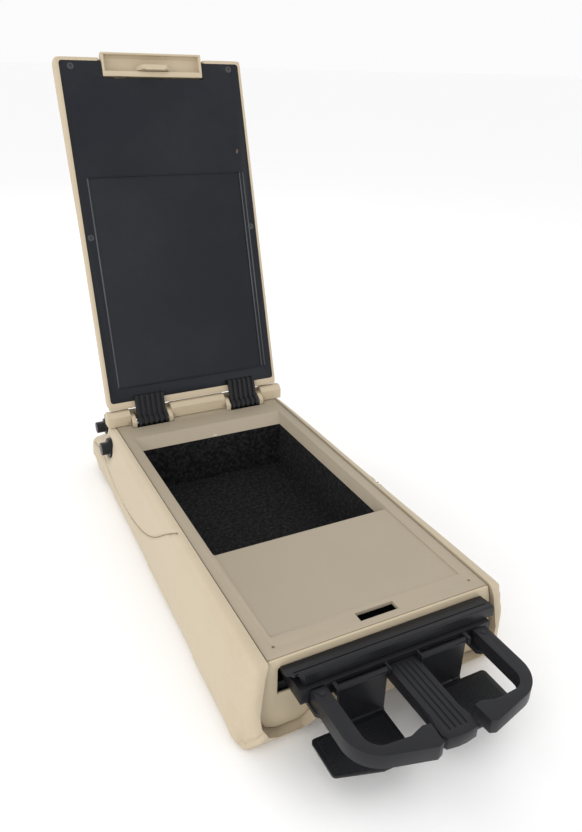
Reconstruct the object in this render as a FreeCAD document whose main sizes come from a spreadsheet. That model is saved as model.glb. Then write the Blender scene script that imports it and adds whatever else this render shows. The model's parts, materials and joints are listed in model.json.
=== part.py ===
import FreeCAD, Part
import os
import re
import Sketcher

SIZES = {
    # tray moulding, the reference for everything else
    "tray_half": 115, "tray_length": 460, "front": 200, "top": 91, "plate": 4, "wall": 2.5,
    "bin_half": 102.4, "deck_length": 151.2, "ledge": 39.1, "funnel_drop": 11.8, "funnel_side": 5.8,
    "funnel_back": 15.4, "recess_front": 24.2, "recess_drop": 1.4, "recess_side": 1.2, "skirt": 10.5,
    "slot_half": 20, "slot_long": 11, "slot_at": 13.2, "dot_r": 1.5, "dot_x": 103.5, "dot_y": 12.3,
    # clearances
    "seat": 0.3, "rim_gap": 2, "run": 0.08, "free": 0.6,
    # upholstery
    "leather": 2.5, "rise": 2, "nose": 14, "tail": 356, "flat_end": 262, "neck": 284,
    "head_front": 127, "head_rear": 120.5, "base_front": 147, "base_rear": 134, "roll": 10,
    "arch_half": 78, "arch_high": 33, "arch_deep": 80, "arch_pitch": 22,
    # steel carrier
    "sheet": 1.5, "floor_low": 14.5, "floor_high": 48.3, "carrier_top": 80, "back_wall": 266,
    "ear_end": 328,
    # bezel and mouth
    "bezel": 3, "mouth_half": 106, "mouth_top": 10, "mouth_high": 28, "lip": 2, "bezel_foot": 76.5,
    "bezel_wide": 124,
    # cup holder
    "case_half": 109, "case_wall": 2, "case_floor": 50, "arm_top": 16, "arm_high": 14,
    "arm_in": 76, "arm_out": 90, "arm_root": 30, "arm_front": 119, "arm_round": 32, "arm_inround": 15,
    "arm_pin_x": 83, "arm_pin_y": 36.5, "arm_pin_r": 2.5, "bar_front": 28, "bar_back": 12, "bar_half": 98,
    "runner": 8, "runner_end": 165, "spine_half": 15, "spine_tip": 17.5, "spine_top": 22, "spine_high": 12,
    "spine_front": 114, "groove": 2, "groove_deep": 1.2, "groove_step": 5.4,
    "flap_pin_y": 33, "flap_pin_z": 21, "flap_pin_r": 1.5, "flap_eye": 3.6, "flap_in": 18, "flap_out": 65.5,
    "flap_thick": 3, "foot_z": 65.5, "foot_eye": 2.8, "foot_pin_r": 1.2, "foot_thick": 2.6, "foot_out": 92,
    "foot_long": 42, "foot_reach": 54,
    # black front flap
    "flap_half": 105, "flap_front": 23, "flap_top": 5, "flap_plate": 2.5, "flap_lip": 9.8, "hinge_in": 3.5,
    "hinge_drop": 12.5, "hinge_r": 1.4, "break_wide": 14, "break_long": 9,
    # lid
    "lid_half": 122.5, "lid_length": 433.8, "lid_thick": 32, "lid_y": 269.2, "lid_z": 24, "lid_angle": 72.8,
    "lid_round": 14, "lid_rim": 5.5, "board": 4.4, "board_at": 4.6, "panel": 3.4, "panel_drop": 0.8,
    "inset_half": 103.5, "inset_low": 24, "inset_high": 291, "inset_drop": 1.4,
    "screw_r": 4.3, "screw_shank": 1.8, "screw_long": 7, "screw_top_x": 103.3, "screw_top_s": 422,
    "screw_mid_x": 110, "screw_mid_s": 218,
    "latch_half": 65, "latch_low": 411, "latch_high": 438.5, "latch_deep": 12, "latch_wall": 3, "hook_half": 15,
    "hook_root": 22, "hook_s": 418, "hook_thick": 5, "hook_reach": 9, "latch_pin_r": 1.5, "latch_swing": 7,
    # lid hinge
    "axis_y": 258.7, "axis_z": 2.2, "knuckle_r": 8, "knuckle_in": 46.7, "fin": 3.6, "fin_gap": 3.54,
    "knuckle_pin_r": 2.5, "arm_thick": 4.6, "arm_up": 12, "cheek": 5.5,
    "bar_high": 18.4, "bar_deep": 17.6, "bar_end": 125, "notch_in": 38.6, "notch_out": 95, "flange": 3.4,
    # pivots
    "stud_y": 263.5, "stud_z": 62, "collar_r": 13, "collar_out": 128, "stub_r": 8.5, "stub_long": 9,
    "peg_y": 314, "peg_z": 69, "peg_flange_r": 11, "peg_r": 7.5, "peg_long": 15, "tail_r": 4, "tail_in": 4,
}

# positions that follow from the sizes above
DERIVED = {
    "step_at": "(front - deck_length + 2 * seat + sheet)",
    "case_end": "(front - deck_length + 2 * seat + sheet + 1.1)",
}

DOC = FreeCAD.newDocument("Armrest")
SHEET = DOC.addObject("Spreadsheet::Sheet", "Sizes")
for row, (alias, value) in enumerate(SIZES.items(), 1):
    SHEET.set("A%d" % row, alias)
    SHEET.set("B%d" % row, str(value))
    SHEET.setAlias("B%d" % row, alias)
DOC.recompute()

NODES = []


def spell(text):
    """Write out the derived names in a formula."""
    return re.sub(r"[a-z_]+", lambda m: DERIVED.get(m.group(0), m.group(0)), str(text))


def bind(text):
    """Turn the plain size names in a formula into references to the sheet."""
    return re.sub(r"[a-z_]+[a-z0-9_]*", lambda m: "Sizes." + m.group(0) if m.group(0) in SIZES else m.group(0),
                  spell(text))


def place(thing, x="0", y="0", z="0"):
    """Bind the position of an object to formulas."""
    thing.setExpression(".Placement.Base.x", bind(x))
    thing.setExpression(".Placement.Base.y", bind(y))
    thing.setExpression(".Placement.Base.z", bind(z))
    return thing


def block(name, x0, x1, y0, y1, z0, z1):
    """A box between six formulas."""
    box = DOC.addObject("Part::Box", name)
    box.setExpression("Length", bind("(%s) - (%s)" % (x1, x0)))
    box.setExpression("Width", bind("(%s) - (%s)" % (y1, y0)))
    box.setExpression("Height", bind("(%s) - (%s)" % (z1, z0)))
    return place(box, x0, y0, z0)


TURNS = {"X": (FreeCAD.Vector(0, 1, 0), 90), "Y": (FreeCAD.Vector(1, 0, 0), -90), "Z": (FreeCAD.Vector(0, 0, 1), 0)}


def rod(name, axis, x, y, z, radius, length):
    """A cylinder that starts at a point and runs along a positive axis."""
    bar = DOC.addObject("Part::Cylinder", name)
    bar.Placement = FreeCAD.Placement(FreeCAD.Vector(0, 0, 0), FreeCAD.Rotation(*TURNS[axis]))
    bar.setExpression("Radius", bind(radius))
    bar.setExpression("Height", bind(length))
    return place(bar, x, y, z)


def outline(body, name, plane, offset, points):
    """A closed sketch of straight lines whose corners are bound to formulas."""
    sketch = body.newObject("Sketcher::SketchObject", name)
    role = {"XY": "XY_Plane", "XZ": "XZ_Plane", "YZ": "YZ_Plane"}[plane]
    base = [f for f in body.Origin.OriginFeatures if f.Role == role][0]
    sketch.AttachmentSupport = [(base, "")]
    sketch.MapMode = "FlatFace"
    sketch.setExpression(".AttachmentOffset.Base.z", bind(offset))
    spots = [FreeCAD.Vector(float(SHEET_VALUES(px)), float(SHEET_VALUES(py)), 0) for px, py in points]
    count = len(spots)
    for i in range(count):
        sketch.addGeometry(Part.LineSegment(spots[i], spots[(i + 1) % count]), False)
    for i in range(count):
        sketch.addConstraint(Sketcher.Constraint("Coincident", i, 2, (i + 1) % count, 1))
    for i, (px, py) in enumerate(points):
        for kind, text, start in (("DistanceX", px, spots[i].x), ("DistanceY", py, spots[i].y)):
            index = sketch.addConstraint(Sketcher.Constraint(kind, -1, 1, i, 1, start))
            sketch.setExpression("Constraints[%d]" % index, bind(text))
    return sketch


def SHEET_VALUES(text):
    """The value of a formula, from the plain numbers in the table."""
    return FormulaReader(spell(text)).total()


class FormulaReader:
    """Reads sums, differences, products and quotients of size names."""

    def __init__(self, text):
        self.parts = re.findall(r"[A-Za-z_]\w*|\d+\.?\d*|[-+*/()]", text)
        self.spot = 0

    def peek(self):
        return self.parts[self.spot] if self.spot < len(self.parts) else ""

    def take(self):
        self.spot += 1
        return self.parts[self.spot - 1]

    def total(self):
        result = self.product()
        while self.peek() in ("+", "-"):
            result = result + self.product() if self.take() == "+" else result - self.product()
        return result

    def product(self):
        result = self.single()
        while self.peek() in ("*", "/"):
            result = result * self.single() if self.take() == "*" else result / self.single()
        return result

    def single(self):
        word = self.take()
        if word == "-":
            return -self.single()
        if word == "(":
            inside = self.total()
            self.take()
            return inside
        return float(SIZES[word]) if word in SIZES else float(word)


def prism(name, plane, start, depth, points):
    """A body padded from an outline: XY goes up, YZ goes right, XZ goes rearward from its start."""
    body = DOC.addObject("PartDesign::Body", name)
    offset = "-((%s) + (%s))" % (start, depth) if plane == "XZ" else start
    sketch = outline(body, name + "_outline", plane, offset, points)
    pad = body.newObject("PartDesign::Pad", name + "_pad")
    pad.Profile = sketch
    pad.setExpression("Length", bind(depth))
    sketch.Visibility = False
    return body


def both(points):
    """Complete a right half outline with its mirror image."""
    return points + [("-(%s)" % x, y) for x, y in reversed(points)]


def cut(name, base, *tools):
    """Take tools away from a base."""
    DOC.recompute()
    result = DOC.addObject("Part::Cut", name)
    result.Base = base
    result.Tool = tools[0] if len(tools) == 1 else fuse(name + "_tools", *tools)
    return result


def fuse(name, *shapes):
    """Join shapes to one."""
    result = DOC.addObject("Part::MultiFuse", name)
    result.Shapes = list(shapes)
    result.Refine = True
    return result


def common(name, *shapes):
    """Keep what all shapes share."""
    result = DOC.addObject("Part::MultiCommon", name)
    result.Shapes = list(shapes)
    return result


def mirror(source, name):
    """The same shape on the other side of the middle plane."""
    result = DOC.addObject("Part::Mirroring", name)
    result.Source = source
    result.Base = FreeCAD.Vector(0, 0, 0)
    result.Normal = FreeCAD.Vector(1, 0, 0)
    return result


def node(thing, label):
    """Register a finished sub-part under its file name."""
    thing.Label = label
    NODES.append((thing, label))
    return thing


def pair(thing, label):
    """Register a right-hand sub-part and its left-hand mirror image."""
    node(thing, label + "_right")
    node(mirror(thing, label + "_mirror"), label + "_left")


def round_upright(body, name, radius, spots, near=4):
    """Fillet the upright edges of a body that stand closest to the given spots."""
    DOC.recompute()
    tip = body.Tip
    picked = []
    for index, edge in enumerate(tip.Shape.Edges, 1):
        ends = [v.Point for v in edge.Vertexes]
        if len(ends) == 2 and abs(ends[0].x - ends[1].x) + abs(ends[0].y - ends[1].y) < 0.001:
            for px, py in spots:
                if abs(ends[0].x - SHEET_VALUES(px)) + abs(ends[0].y - SHEET_VALUES(py)) < near:
                    picked.append("Edge%d" % index)
    fillet = body.newObject("PartDesign::Fillet", name)
    fillet.Base = (tip, picked)
    fillet.setExpression("Radius", bind(radius))
    body.Tip = fillet
    return fillet


# upholstered body: one padded form, taken once for the leather and once for the foam inside it
def padded_form(name, inset):
    """The outer form of the body, or the same form drawn in by an inset."""
    side = prism(name + "_side", "YZ", "-base_front - roll", "2 * (base_front + roll)", [
        ("-front - nose + %s" % inset, "roll + 6"), ("-front - nose + roll + %s" % inset, inset),
        ("flat_end", inset), ("tail - roll - 4 - %s" % inset, "roll + 4 + %s" % inset),
        ("tail - %s" % inset, "top * 0.3"), ("tail - roll - 2 - %s" % inset, "top * 0.44 - %s" % inset),
        ("neck + 25 - %s" % inset, "top * 0.6 - %s" % inset), ("neck - %s" % inset, "top * 0.84 - %s" % inset),
        ("neck - roll - 2 - %s" % inset, "top - seat - %s" % inset),
        ("flat_end - 6 - %s" % inset, "top - seat - %s" % inset),
        ("flat_end - 8 - %s" % inset, "top + rise - %s" % inset),
        ("-front - 6 + %s" % inset, "top + rise - %s" % inset)])
    body = DOC.addObject("PartDesign::Body", name + "_flanks")
    ends = []
    for end, offset, foot, head in (("front", "front + nose + 1", "base_front", "head_front"),
                                    ("rear", "-(tail + 1)", "base_rear", "head_rear")):
        ends.append(outline(body, "%s_%s" % (name, end), "XZ", offset, both([
            (foot + " - roll - " + inset, inset), (foot + " - " + inset, "roll"),
            (head + " - " + inset, "top + rise - " + inset)])))
    loft = body.newObject("PartDesign::AdditiveLoft", name + "_loft")
    loft.Profile = ends[0]
    loft.Sections = [ends[1]]
    loft.Ruled = True
    plan = prism(name + "_plan", "XY", "-1", "top + rise + 2", both([
        ("base_front - 2 * roll - %s" % inset, "-front - nose + %s" % inset),
        ("base_front - %s" % inset, "-front - nose + 2 * roll + %s" % inset),
        ("base_front + 1", "tail + 2")]))
    arch = prism(name + "_arch", "XZ", "0", "arch_deep", both([
        ("arch_half + 18 + %s" % inset, "-2 * roll"), ("arch_half + %s" % inset, "arch_high * 0.36 + %s" % inset),
        ("arch_half * 0.85 + %s" % inset, "arch_high * 0.8 + %s" % inset),
        ("arch_half * 0.5 + %s" % inset, "arch_high + %s" % inset)]))
    arch.Placement = FreeCAD.Placement(FreeCAD.Vector(0, 0, 0), FreeCAD.Rotation(FreeCAD.Vector(1, 0, 0), 0))
    arch.setExpression(".Placement.Rotation.Axis.x", "1")
    arch.setExpression(".Placement.Rotation.Angle", bind("-arch_pitch"))
    place(arch, "0", "-front - nose - 4", "2")
    DOC.recompute()
    return cut(name, common(name + "_meet", common(name + "_flank_meet", side, body), plan), arch)


bezel_half = [
    ("tray_half - seat", "top"), ("tray_half + 3", "top - 11"), ("bezel_wide - 2.5", "top * 0.66"),
    ("bezel_wide", "top * 0.48"), ("bezel_wide - 1", "top * 0.33"), ("bezel_wide - 7", "top - bezel_foot + 4.5"),
    ("bezel_wide - 16", "top - bezel_foot"), ("arch_half + 6", "top - bezel_foot"),
    ("arch_half - 2", "top - bezel_foot + 5.5"), ("arch_half * 0.85", "arch_high * 0.97"),
    ("arch_half * 0.56", "arch_high * 1.2")]


def grown(points, by):
    """Widen a right half outline outward and downward."""
    low = [(x + " + " + by, z + " - " + by) for x, z in points[3:8]]
    inner = [(x, z + " - " + by) for x, z in points[8:]]
    return [(x + " + " + by, z) for x, z in points[:3]] + low + inner


form = padded_form("cover_form", "0")
hollow = padded_form("cover_hollow", "leather")
stuffing = padded_form("foam_form", "(leather + seat)")
opening = block("top_opening", "-tray_half - rim_gap", "tray_half + rim_gap", "-front - bezel - seat",
                "back_wall + 3", "floor_high + 20", "top + 30")
front_window = prism("front_window", "XZ", "-front - 3 * nose", "3 * nose + seat",
                     both([("tray_half + rim_gap", "top + 30")] + grown(bezel_half, "free")))
pocket = prism("carrier_pocket", "YZ", "-tray_half - seat", "2 * (tray_half + seat)", [
    ("-front - 3 * nose", "floor_high - seat"), ("-step_at - seat", "floor_high - seat"),
    ("-step_at - seat", "floor_low - seat"), ("back_wall + sheet + seat", "floor_low - seat"),
    ("back_wall + sheet + seat", "top + 30"), ("-front - 3 * nose", "top + 30")])
ear_points = [("back_wall", "stud_z - 25"), ("peg_y - 10", "peg_z - 14"), ("ear_end", "peg_z - 8"),
              ("ear_end", "carrier_top"), ("back_wall", "carrier_top")]
ear_room = [("back_wall - 2", "stud_z - 26"), ("peg_y - 10", "peg_z - 14.5"), ("ear_end + 1", "peg_z - 8.5"),
            ("ear_end + 1", "top + 9"), ("back_wall - 2", "top + 9")]
ear_slot = prism("ear_slot", "YZ", "tray_half - sheet - seat", "sheet + 2 * seat", ear_room)
ear_slot_left = mirror(ear_slot, "ear_slot_left")
stud_hole = rod("stud_hole", "X", "-base_front", "stud_y", "stud_z", "collar_r + seat", "2 * base_front")
peg_hole = rod("peg_hole", "X", "-base_front", "peg_y", "peg_z", "peg_flange_r + seat", "2 * base_front")
arm_hollow = block("hinge_well", "-notch_out - 2", "notch_out + 2", "flat_end - 20", "back_wall + 3",
                   "top - 14", "top + 9")

leather_cover = node(cut("leather_shell", form, hollow, opening, front_window, ear_slot, ear_slot_left, stud_hole,
                         peg_hole), "leather_cover")
foam_body = node(cut("foam_block", stuffing, opening, front_window, pocket, ear_slot, ear_slot_left, stud_hole,
                     peg_hole, arm_hollow), "foam_body")

# pressed steel carrier with rear ears
channel = prism("channel", "YZ", "-tray_half", "2 * tray_half", [
    ("-front + 4", "floor_high"), ("-step_at", "floor_high"), ("-step_at", "floor_low"),
    ("back_wall + sheet", "floor_low"), ("back_wall + sheet", "carrier_top"), ("-front + 4", "carrier_top")])
channel_room = prism("channel_room", "YZ", "-tray_half + sheet", "2 * (tray_half - sheet)", [
    ("-front - 4", "floor_high + sheet"), ("-step_at + sheet", "floor_high + sheet"),
    ("-step_at + sheet", "floor_low + sheet"), ("back_wall", "floor_low + sheet"),
    ("back_wall", "carrier_top + 5"), ("-front - 4", "carrier_top + 5")])
ear = prism("ear", "YZ", "tray_half - sheet", "sheet", ear_points)
stud_tail_hole = rod("stud_tail_hole", "X", "-tray_half - 5", "stud_y", "stud_z", "tail_r + run", "2 * tray_half + 10")
peg_tail_hole = rod("peg_tail_hole", "X", "-tray_half - 5", "peg_y", "peg_z", "tail_r + run", "2 * tray_half + 10")
bar_screw_hole = fuse("bar_screw_holes", *[
    rod("bar_screw_hole_%d" % i, "Y", x, "back_wall - 8", "carrier_top - 5", "screw_shank + run", "16")
    for i, x in enumerate(("-knuckle_in", "knuckle_in"))])
case_spots = [("case_half * 0.6", "-case_end - 24"), ("-case_half * 0.6", "-case_end - 24"),
              ("case_half * 0.6", "-front + 24"), ("-case_half * 0.6", "-front + 24")]
case_screw_holes = fuse("case_screw_holes", *[
    rod("case_screw_hole_%d" % i, "Z", x, y, "floor_high - 4", "screw_shank + run", "10")
    for i, (x, y) in enumerate(case_spots)])
carrier = node(cut("carrier_sheet", fuse("carrier_join", cut("channel_cut", channel, channel_room), ear,
                                         mirror(ear, "ear_left")),
                   stud_tail_hole, peg_tail_hole, bar_screw_hole, case_screw_holes), "carrier_pan")

# tray frame: rim, deck, sloped bin walls and rear ledge in one moulding
rim = block("rim", "-tray_half", "tray_half", "-front", "-front + tray_length", "top - plate", "top")
skirt_out = block("skirt_out", "-tray_half", "tray_half", "-front", "-front + tray_length", "top - skirt", "top")
skirt_in = block("skirt_in", "-tray_half + wall", "tray_half - wall", "-front - 1", "-front + tray_length + 1",
                 "top - skirt - 1", "top + 1")
bin_rear = "(-front + tray_length - ledge)"
bin_front = "(-front + deck_length)"


def funnel(name, grow, low, high):
    """A tapering block for the bin opening, widened by a wall where asked."""
    body = DOC.addObject("PartDesign::Body", name)
    layers = []
    for tag, level, side, back in (("low", low, "funnel_side", "funnel_back"), ("high", high, "0", "0")):
        layers.append(outline(body, name + "_" + tag, "XY", level, [
            ("-bin_half + %s - %s" % (side, grow), bin_front + " - 0"),
            ("bin_half - %s + %s" % (side, grow), bin_front + " - 0"),
            ("bin_half - %s + %s" % (side, grow), bin_rear + " - %s + %s" % (back, grow)),
            ("-bin_half + %s - %s" % (side, grow), bin_rear + " - %s + %s" % (back, grow))]))
    loft = body.newObject("PartDesign::AdditiveLoft", name + "_loft")
    loft.Profile = layers[0]
    loft.Sections = [layers[1]]
    loft.Ruled = True
    return body


funnel_out = funnel("funnel_out", "wall", "top - funnel_drop", "top")
funnel_in = funnel("funnel_in", "0", "top - funnel_drop", "top")
deck_recess = block("deck_recess", "-bin_half + recess_side", "bin_half - recess_side", "-front + recess_front",
                    bin_front + " + 1", "top - recess_drop", "top + 1")
latch_slot = block("latch_slot", "-slot_half", "slot_half", "-front + slot_at - slot_long / 2",
                   "-front + slot_at + slot_long / 2", "top - plate - 1", "top + 1")
dots = fuse("dots", *[rod("dot_%d" % i, "Z", x, "-front + dot_y", "top - plate / 2", "dot_r", "plate")
                      for i, x in enumerate(("-dot_x", "dot_x"))])
wells = fuse("wells", *[block("well_%d" % i, a, b, "axis_y - knuckle_r - 1.2", "-front + tray_length + 1",
                              "top - plate - 1", "top + 1")
                        for i, (a, b) in enumerate((("notch_in", "notch_out"), ("-notch_out", "-notch_in")))])
tray_solid = fuse("tray_solid", rim, cut("skirt_ring", skirt_out, skirt_in), funnel_out)
tray_frame = node(cut("tray_cut", tray_solid, funnel_in, deck_recess, latch_slot, dots, wells), "tray_frame")

# felt lined bin
felt_half = "(bin_half - funnel_side + seat)"
tub = block("tub", "-%s - wall" % felt_half, felt_half + " + wall", bin_front + " - seat",
            bin_rear + " - funnel_back + seat + wall", "floor_low + sheet + seat", "top - funnel_drop - seat")
tub_room = block("tub_room", "-%s" % felt_half, felt_half, bin_front + " - seat + wall",
                 bin_rear + " - funnel_back + seat", "floor_low + sheet + seat + wall", "top")
bin_liner = node(cut("tub_cut", tub, tub_room), "bin_liner")

# bezel with the mouth of the cup holder
bezel_plate = prism("bezel_plate", "XZ", "-front - bezel", "bezel - seat", both(bezel_half))
mouth = block("mouth", "-mouth_half", "mouth_half", "-front - 2 * bezel", "-front + bezel",
              "top - mouth_top - mouth_high", "top - mouth_top")
front_bezel = node(cut("bezel_cut", bezel_plate, mouth), "front_bezel")

# cup holder case with guide rails
case_out = block("case_out", "-case_half", "case_half", "-front + seat", "-case_end", "case_floor", "top - plate - seat")
case_in = block("case_in", "-case_half + case_wall", "case_half - case_wall", "-front - 1", "-case_end - case_wall",
                "case_floor + case_wall", "top - plate - seat - case_wall")
case_hollow = cut("case_hollow", case_out, case_in)
arm_low = "(top - arm_top - arm_high)"
rails = [block("rail_%d" % i, a, b, "-front + 2", "-case_end", "case_floor + case_wall - 0.5", arm_low + " - seat")
         for i, (a, b) in enumerate((("bar_half - 3", "case_half - 1"), ("-case_half + 1", "-bar_half + 3")))]
spindle = rod("spindle", "Z", "0", "-case_end - 17", "case_floor + 1", "3", "12")
case_holes = fuse("case_holes", *[
    rod("case_hole_%d" % i, "Z", x, y, "case_floor - 2", "screw_shank + run", "8")
    for i, (x, y) in enumerate(case_spots)])
hinge_y = "(-front + hinge_in)"
hinge_z = "(top - hinge_drop)"
hinge_bores = rod("hinge_bores", "X", "-case_half - 2", hinge_y, hinge_z, "hinge_r + run", "2 * case_half + 4")
hook_room = block("hook_room", "-slot_half - 3", "slot_half + 3", "-front + slot_at - slot_long / 2 - 2",
                  "-front + slot_at + slot_long / 2 + 2", "top - plate - seat - case_wall - 1", "top")
cup_case = node(cut("case_cut", fuse("case_join", case_hollow, *rails, spindle), case_holes, hinge_bores, hook_room),
                "cup_case")
case_screws = node(fuse("case_screw_set", *[
    fuse("case_screw_%d" % i,
         rod("case_head_%d" % i, "Z", x, y, "case_floor + case_wall + 0.05", "screw_r", "1.6"),
         rod("case_shank_%d" % i, "Z", x, y, "floor_high", "screw_shank", "case_floor - floor_high + case_wall + 1"))
    for i, (x, y) in enumerate(case_spots)]), "case_screws")
roll_spring = node(cut("roll_cut", rod("roll_out", "Z", "0", "-case_end - 17", "case_floor + case_wall + 0.1", "8", "10"),
                       rod("roll_in", "Z", "0", "-case_end - 17", "case_floor", "3 + run", "14")), "roll_spring")
catch_block = node(block("catch_solid", "34", "52", "-case_end - case_wall - 14", "-case_end - case_wall - 0.1",
                         "case_floor + case_wall + 0.1", "case_floor + case_wall + 11"), "push_catch")

# drawer carriage
arm_high_z = "(top - arm_top)"
bar = block("bar", "-bar_half", "bar_half", "-front - bar_front", "-front - bar_back", arm_low, arm_high_z)
runners = [block("runner_%d" % i, a, b, "-front - bar_back - 1", "-runner_end", arm_low, arm_high_z + " - 2")
           for i, (a, b) in enumerate((("bar_half - runner", "bar_half"), ("-bar_half", "-bar_half + runner")))]
tail_bar = block("tail_bar", "-bar_half", "bar_half", "-runner_end - 10", "-runner_end", arm_low, arm_high_z + " - 2")
lug = prism("arm_lug", "XY", "top - arm_top - arm_high - 4.5", "4.2", [
    ("arm_in - 2", "-front - bar_front + 6"), ("arm_in - 2", "-front - arm_pin_y - 4"),
    ("arm_in + 2", "-front - arm_pin_y - 7"), ("arm_out - 2", "-front - arm_pin_y - 7"),
    ("arm_out + 1", "-front - arm_pin_y - 4"), ("arm_out + 1", "-front - bar_front + 6")])
lug_web = block("arm_lug_web", "arm_in - 2", "arm_out + 1", "-front - bar_front + 0.5", "-front - bar_front + 6",
                "top - arm_top - arm_high - 4.5", arm_low + " + 1")
pin_y = "(-front - flap_pin_y)"
pin_z = "(top - flap_pin_z)"
pin_ears = []
for i, (a, b) in enumerate((("spine_half + 0.6", "flap_in - 0.4"), ("flap_out + 0.4", "flap_out + 4"))):
    pin_ears.append(block("pin_ear_%d" % i, a, b, pin_y + " - flap_eye", "-front - bar_front + 1",
                          pin_z + " - flap_eye", pin_z + " + flap_eye"))
flap_bore = rod("flap_bore", "X", "spine_half - 2", pin_y, pin_z, "flap_pin_r + 0.02", "flap_out - spine_half + 8")
arm_pin_bore = rod("arm_pin_bore", "Z", "arm_pin_x", "-front - arm_pin_y", arm_low + " - 8", "arm_pin_r + 0.02", "12")
half_parts = [lug, lug_web] + pin_ears
carriage_solid = fuse("carriage_solid", bar, *runners, tail_bar, *half_parts,
                      *[mirror(p, p.Name + "_left") for p in half_parts])
carriage = node(cut("carriage_cut", carriage_solid, flap_bore, mirror(flap_bore, "flap_bore_left"), arm_pin_bore,
                    mirror(arm_pin_bore, "arm_pin_bore_left")), "drawer_carriage")

# centre spine with its grooves
spine_z = "(top - spine_top - spine_high)"
spine_body = prism("spine_body", "XY", spine_z, "spine_high", [
    ("-spine_half", "-front - bar_front - 0.1"), ("-spine_half + 1", "-front - spine_front + 26"),
    ("-spine_tip", "-front - spine_front + 7"), ("-spine_tip + 3", "-front - spine_front + 1.5"),
    ("-4", "-front - spine_front"), ("4", "-front - spine_front"),
    ("spine_tip - 3", "-front - spine_front + 1.5"), ("spine_tip", "-front - spine_front + 7"),
    ("spine_half - 1", "-front - spine_front + 26"), ("spine_half", "-front - bar_front - 0.1")])
grooves = [block("groove_%d" % i, "%s * groove_step - groove / 2" % k, "%s * groove_step + groove / 2" % k,
                 "-front - spine_front + 8", "-front - bar_front - 2", "top - spine_top - groove_deep",
                 "top - spine_top + 1") for i, k in enumerate(("(-1.5)", "(-0.5)", "0.5", "1.5"))]
spine = node(cut("spine_cut", spine_body, *grooves), "centre_spine")

# swinging cup arms
arm_body = prism("arm_body", "XY", arm_low, "arm_high", [
    ("arm_in", "-front - arm_root"), ("arm_in", "-front - arm_front + 20"),
    ("arm_in * 0.55", "-front - arm_front + 17.5"), ("spine_tip + 11", "-front - arm_front + 22"),
    ("spine_tip + 4", "-front - arm_front + 20.5"), ("spine_tip + 5.5", "-front - arm_front + 2"),
    ("spine_tip + 11", "-front - arm_front"), ("arm_out", "-front - arm_front + 16"), ("arm_out", "-front - arm_root")])
round_upright(arm_body, "arm_outer_round", "arm_round", [("arm_out", "-front - arm_front + 16")])
round_upright(arm_body, "arm_inner_round", "arm_inround", [("arm_in", "-front - arm_front + 20")])
arm_bore = rod("arm_bore", "Z", "arm_pin_x", "-front - arm_pin_y", arm_low + " - 2", "arm_pin_r + run", "arm_high + 4")
pair(cut("arm_cut", arm_body, arm_bore), "cup_arm")
pair(rod("arm_pin", "Z", "arm_pin_x", "-front - arm_pin_y", arm_low + " - 4.5", "arm_pin_r", "arm_high + 4.8"),
     "arm_pin")

# drop-down supports: hanger plate, its pin, foot plate, its pin
foot_y = "(-front - flap_pin_y)"
foot_level = "(top - foot_z)"
hanger_plate = block("hanger_plate", "flap_in", "flap_out", pin_y + " - flap_thick / 2", pin_y + " + flap_thick / 2",
                     foot_level, pin_z)
hanger_eye = rod("hanger_eye", "X", "flap_in", pin_y, pin_z, "flap_eye - 0.4", "flap_out - flap_in")
hanger_foot_eyes = [rod("hanger_foot_eye_%d" % i, "X", a, foot_y, foot_level, "foot_eye", "8")
                    for i, a in enumerate(("flap_in", "flap_out - 8"))]
hanger_gap = block("hanger_gap", "flap_in + 8.3", "flap_out - 8.3", pin_y + " - 6", pin_y + " + 6",
                   foot_level + " - 6", foot_level + " + foot_eye + 0.6")
hanger_bore = rod("hanger_bore", "X", "flap_in - 1", pin_y, pin_z, "flap_pin_r + run", "flap_out - flap_in + 2")
hanger_foot_bore = rod("hanger_foot_bore", "X", "flap_in - 1", foot_y, foot_level, "foot_pin_r + 0.02",
                       "flap_out - flap_in + 2")
hanger_solid = cut("hanger_open", fuse("hanger_solid", hanger_plate, hanger_eye, *hanger_foot_eyes), hanger_gap)
pair(cut("hanger_cut", hanger_solid, hanger_bore, hanger_foot_bore), "support_hanger")
pair(rod("flap_pin", "X", "spine_half + 0.7", pin_y, pin_z, "flap_pin_r", "flap_out - spine_half + 3.2"), "hanger_pin")
foot_body = prism("foot_body", "XY", "top - foot_z - foot_thick / 2", "foot_thick", [
    ("flap_in + 8.8", foot_y + " + foot_eye"), ("flap_in + 8.8", foot_y + " - foot_eye - 0.8"),
    ("flap_in + 0.8", foot_y + " - foot_eye - 0.8"), ("flap_in + 1.2", foot_y + " - foot_reach + 16"),
    ("flap_in + 12", foot_y + " - foot_reach"), ("flap_in + 34", foot_y + " - foot_reach"),
    ("foot_out", foot_y + " - foot_long"), ("foot_out", foot_y + " - foot_eye - 0.8"),
    ("flap_out - 8.8", foot_y + " - foot_eye - 0.8"), ("flap_out - 8.8", foot_y + " + foot_eye")])
round_upright(foot_body, "foot_round", "4", [("foot_out", foot_y + " - foot_long"),
                                             ("foot_out", foot_y + " - foot_eye - 0.8")])
round_upright(foot_body, "foot_front_round", "9", [("flap_in + 12", foot_y + " - foot_reach")])
foot_eye = rod("foot_eye_solid", "X", "flap_in + 8.8", foot_y, foot_level, "foot_eye", "flap_out - flap_in - 17.6")
foot_bore = rod("foot_bore", "X", "flap_in", foot_y, foot_level, "foot_pin_r + run", "flap_out - flap_in")
pair(cut("foot_cut", fuse("foot_solid", foot_body, foot_eye), foot_bore), "support_foot")
pair(rod("foot_pin", "X", "flap_in + 0.2", foot_y, foot_level, "foot_pin_r", "flap_out - flap_in - 0.4"), "foot_pin")

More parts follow.
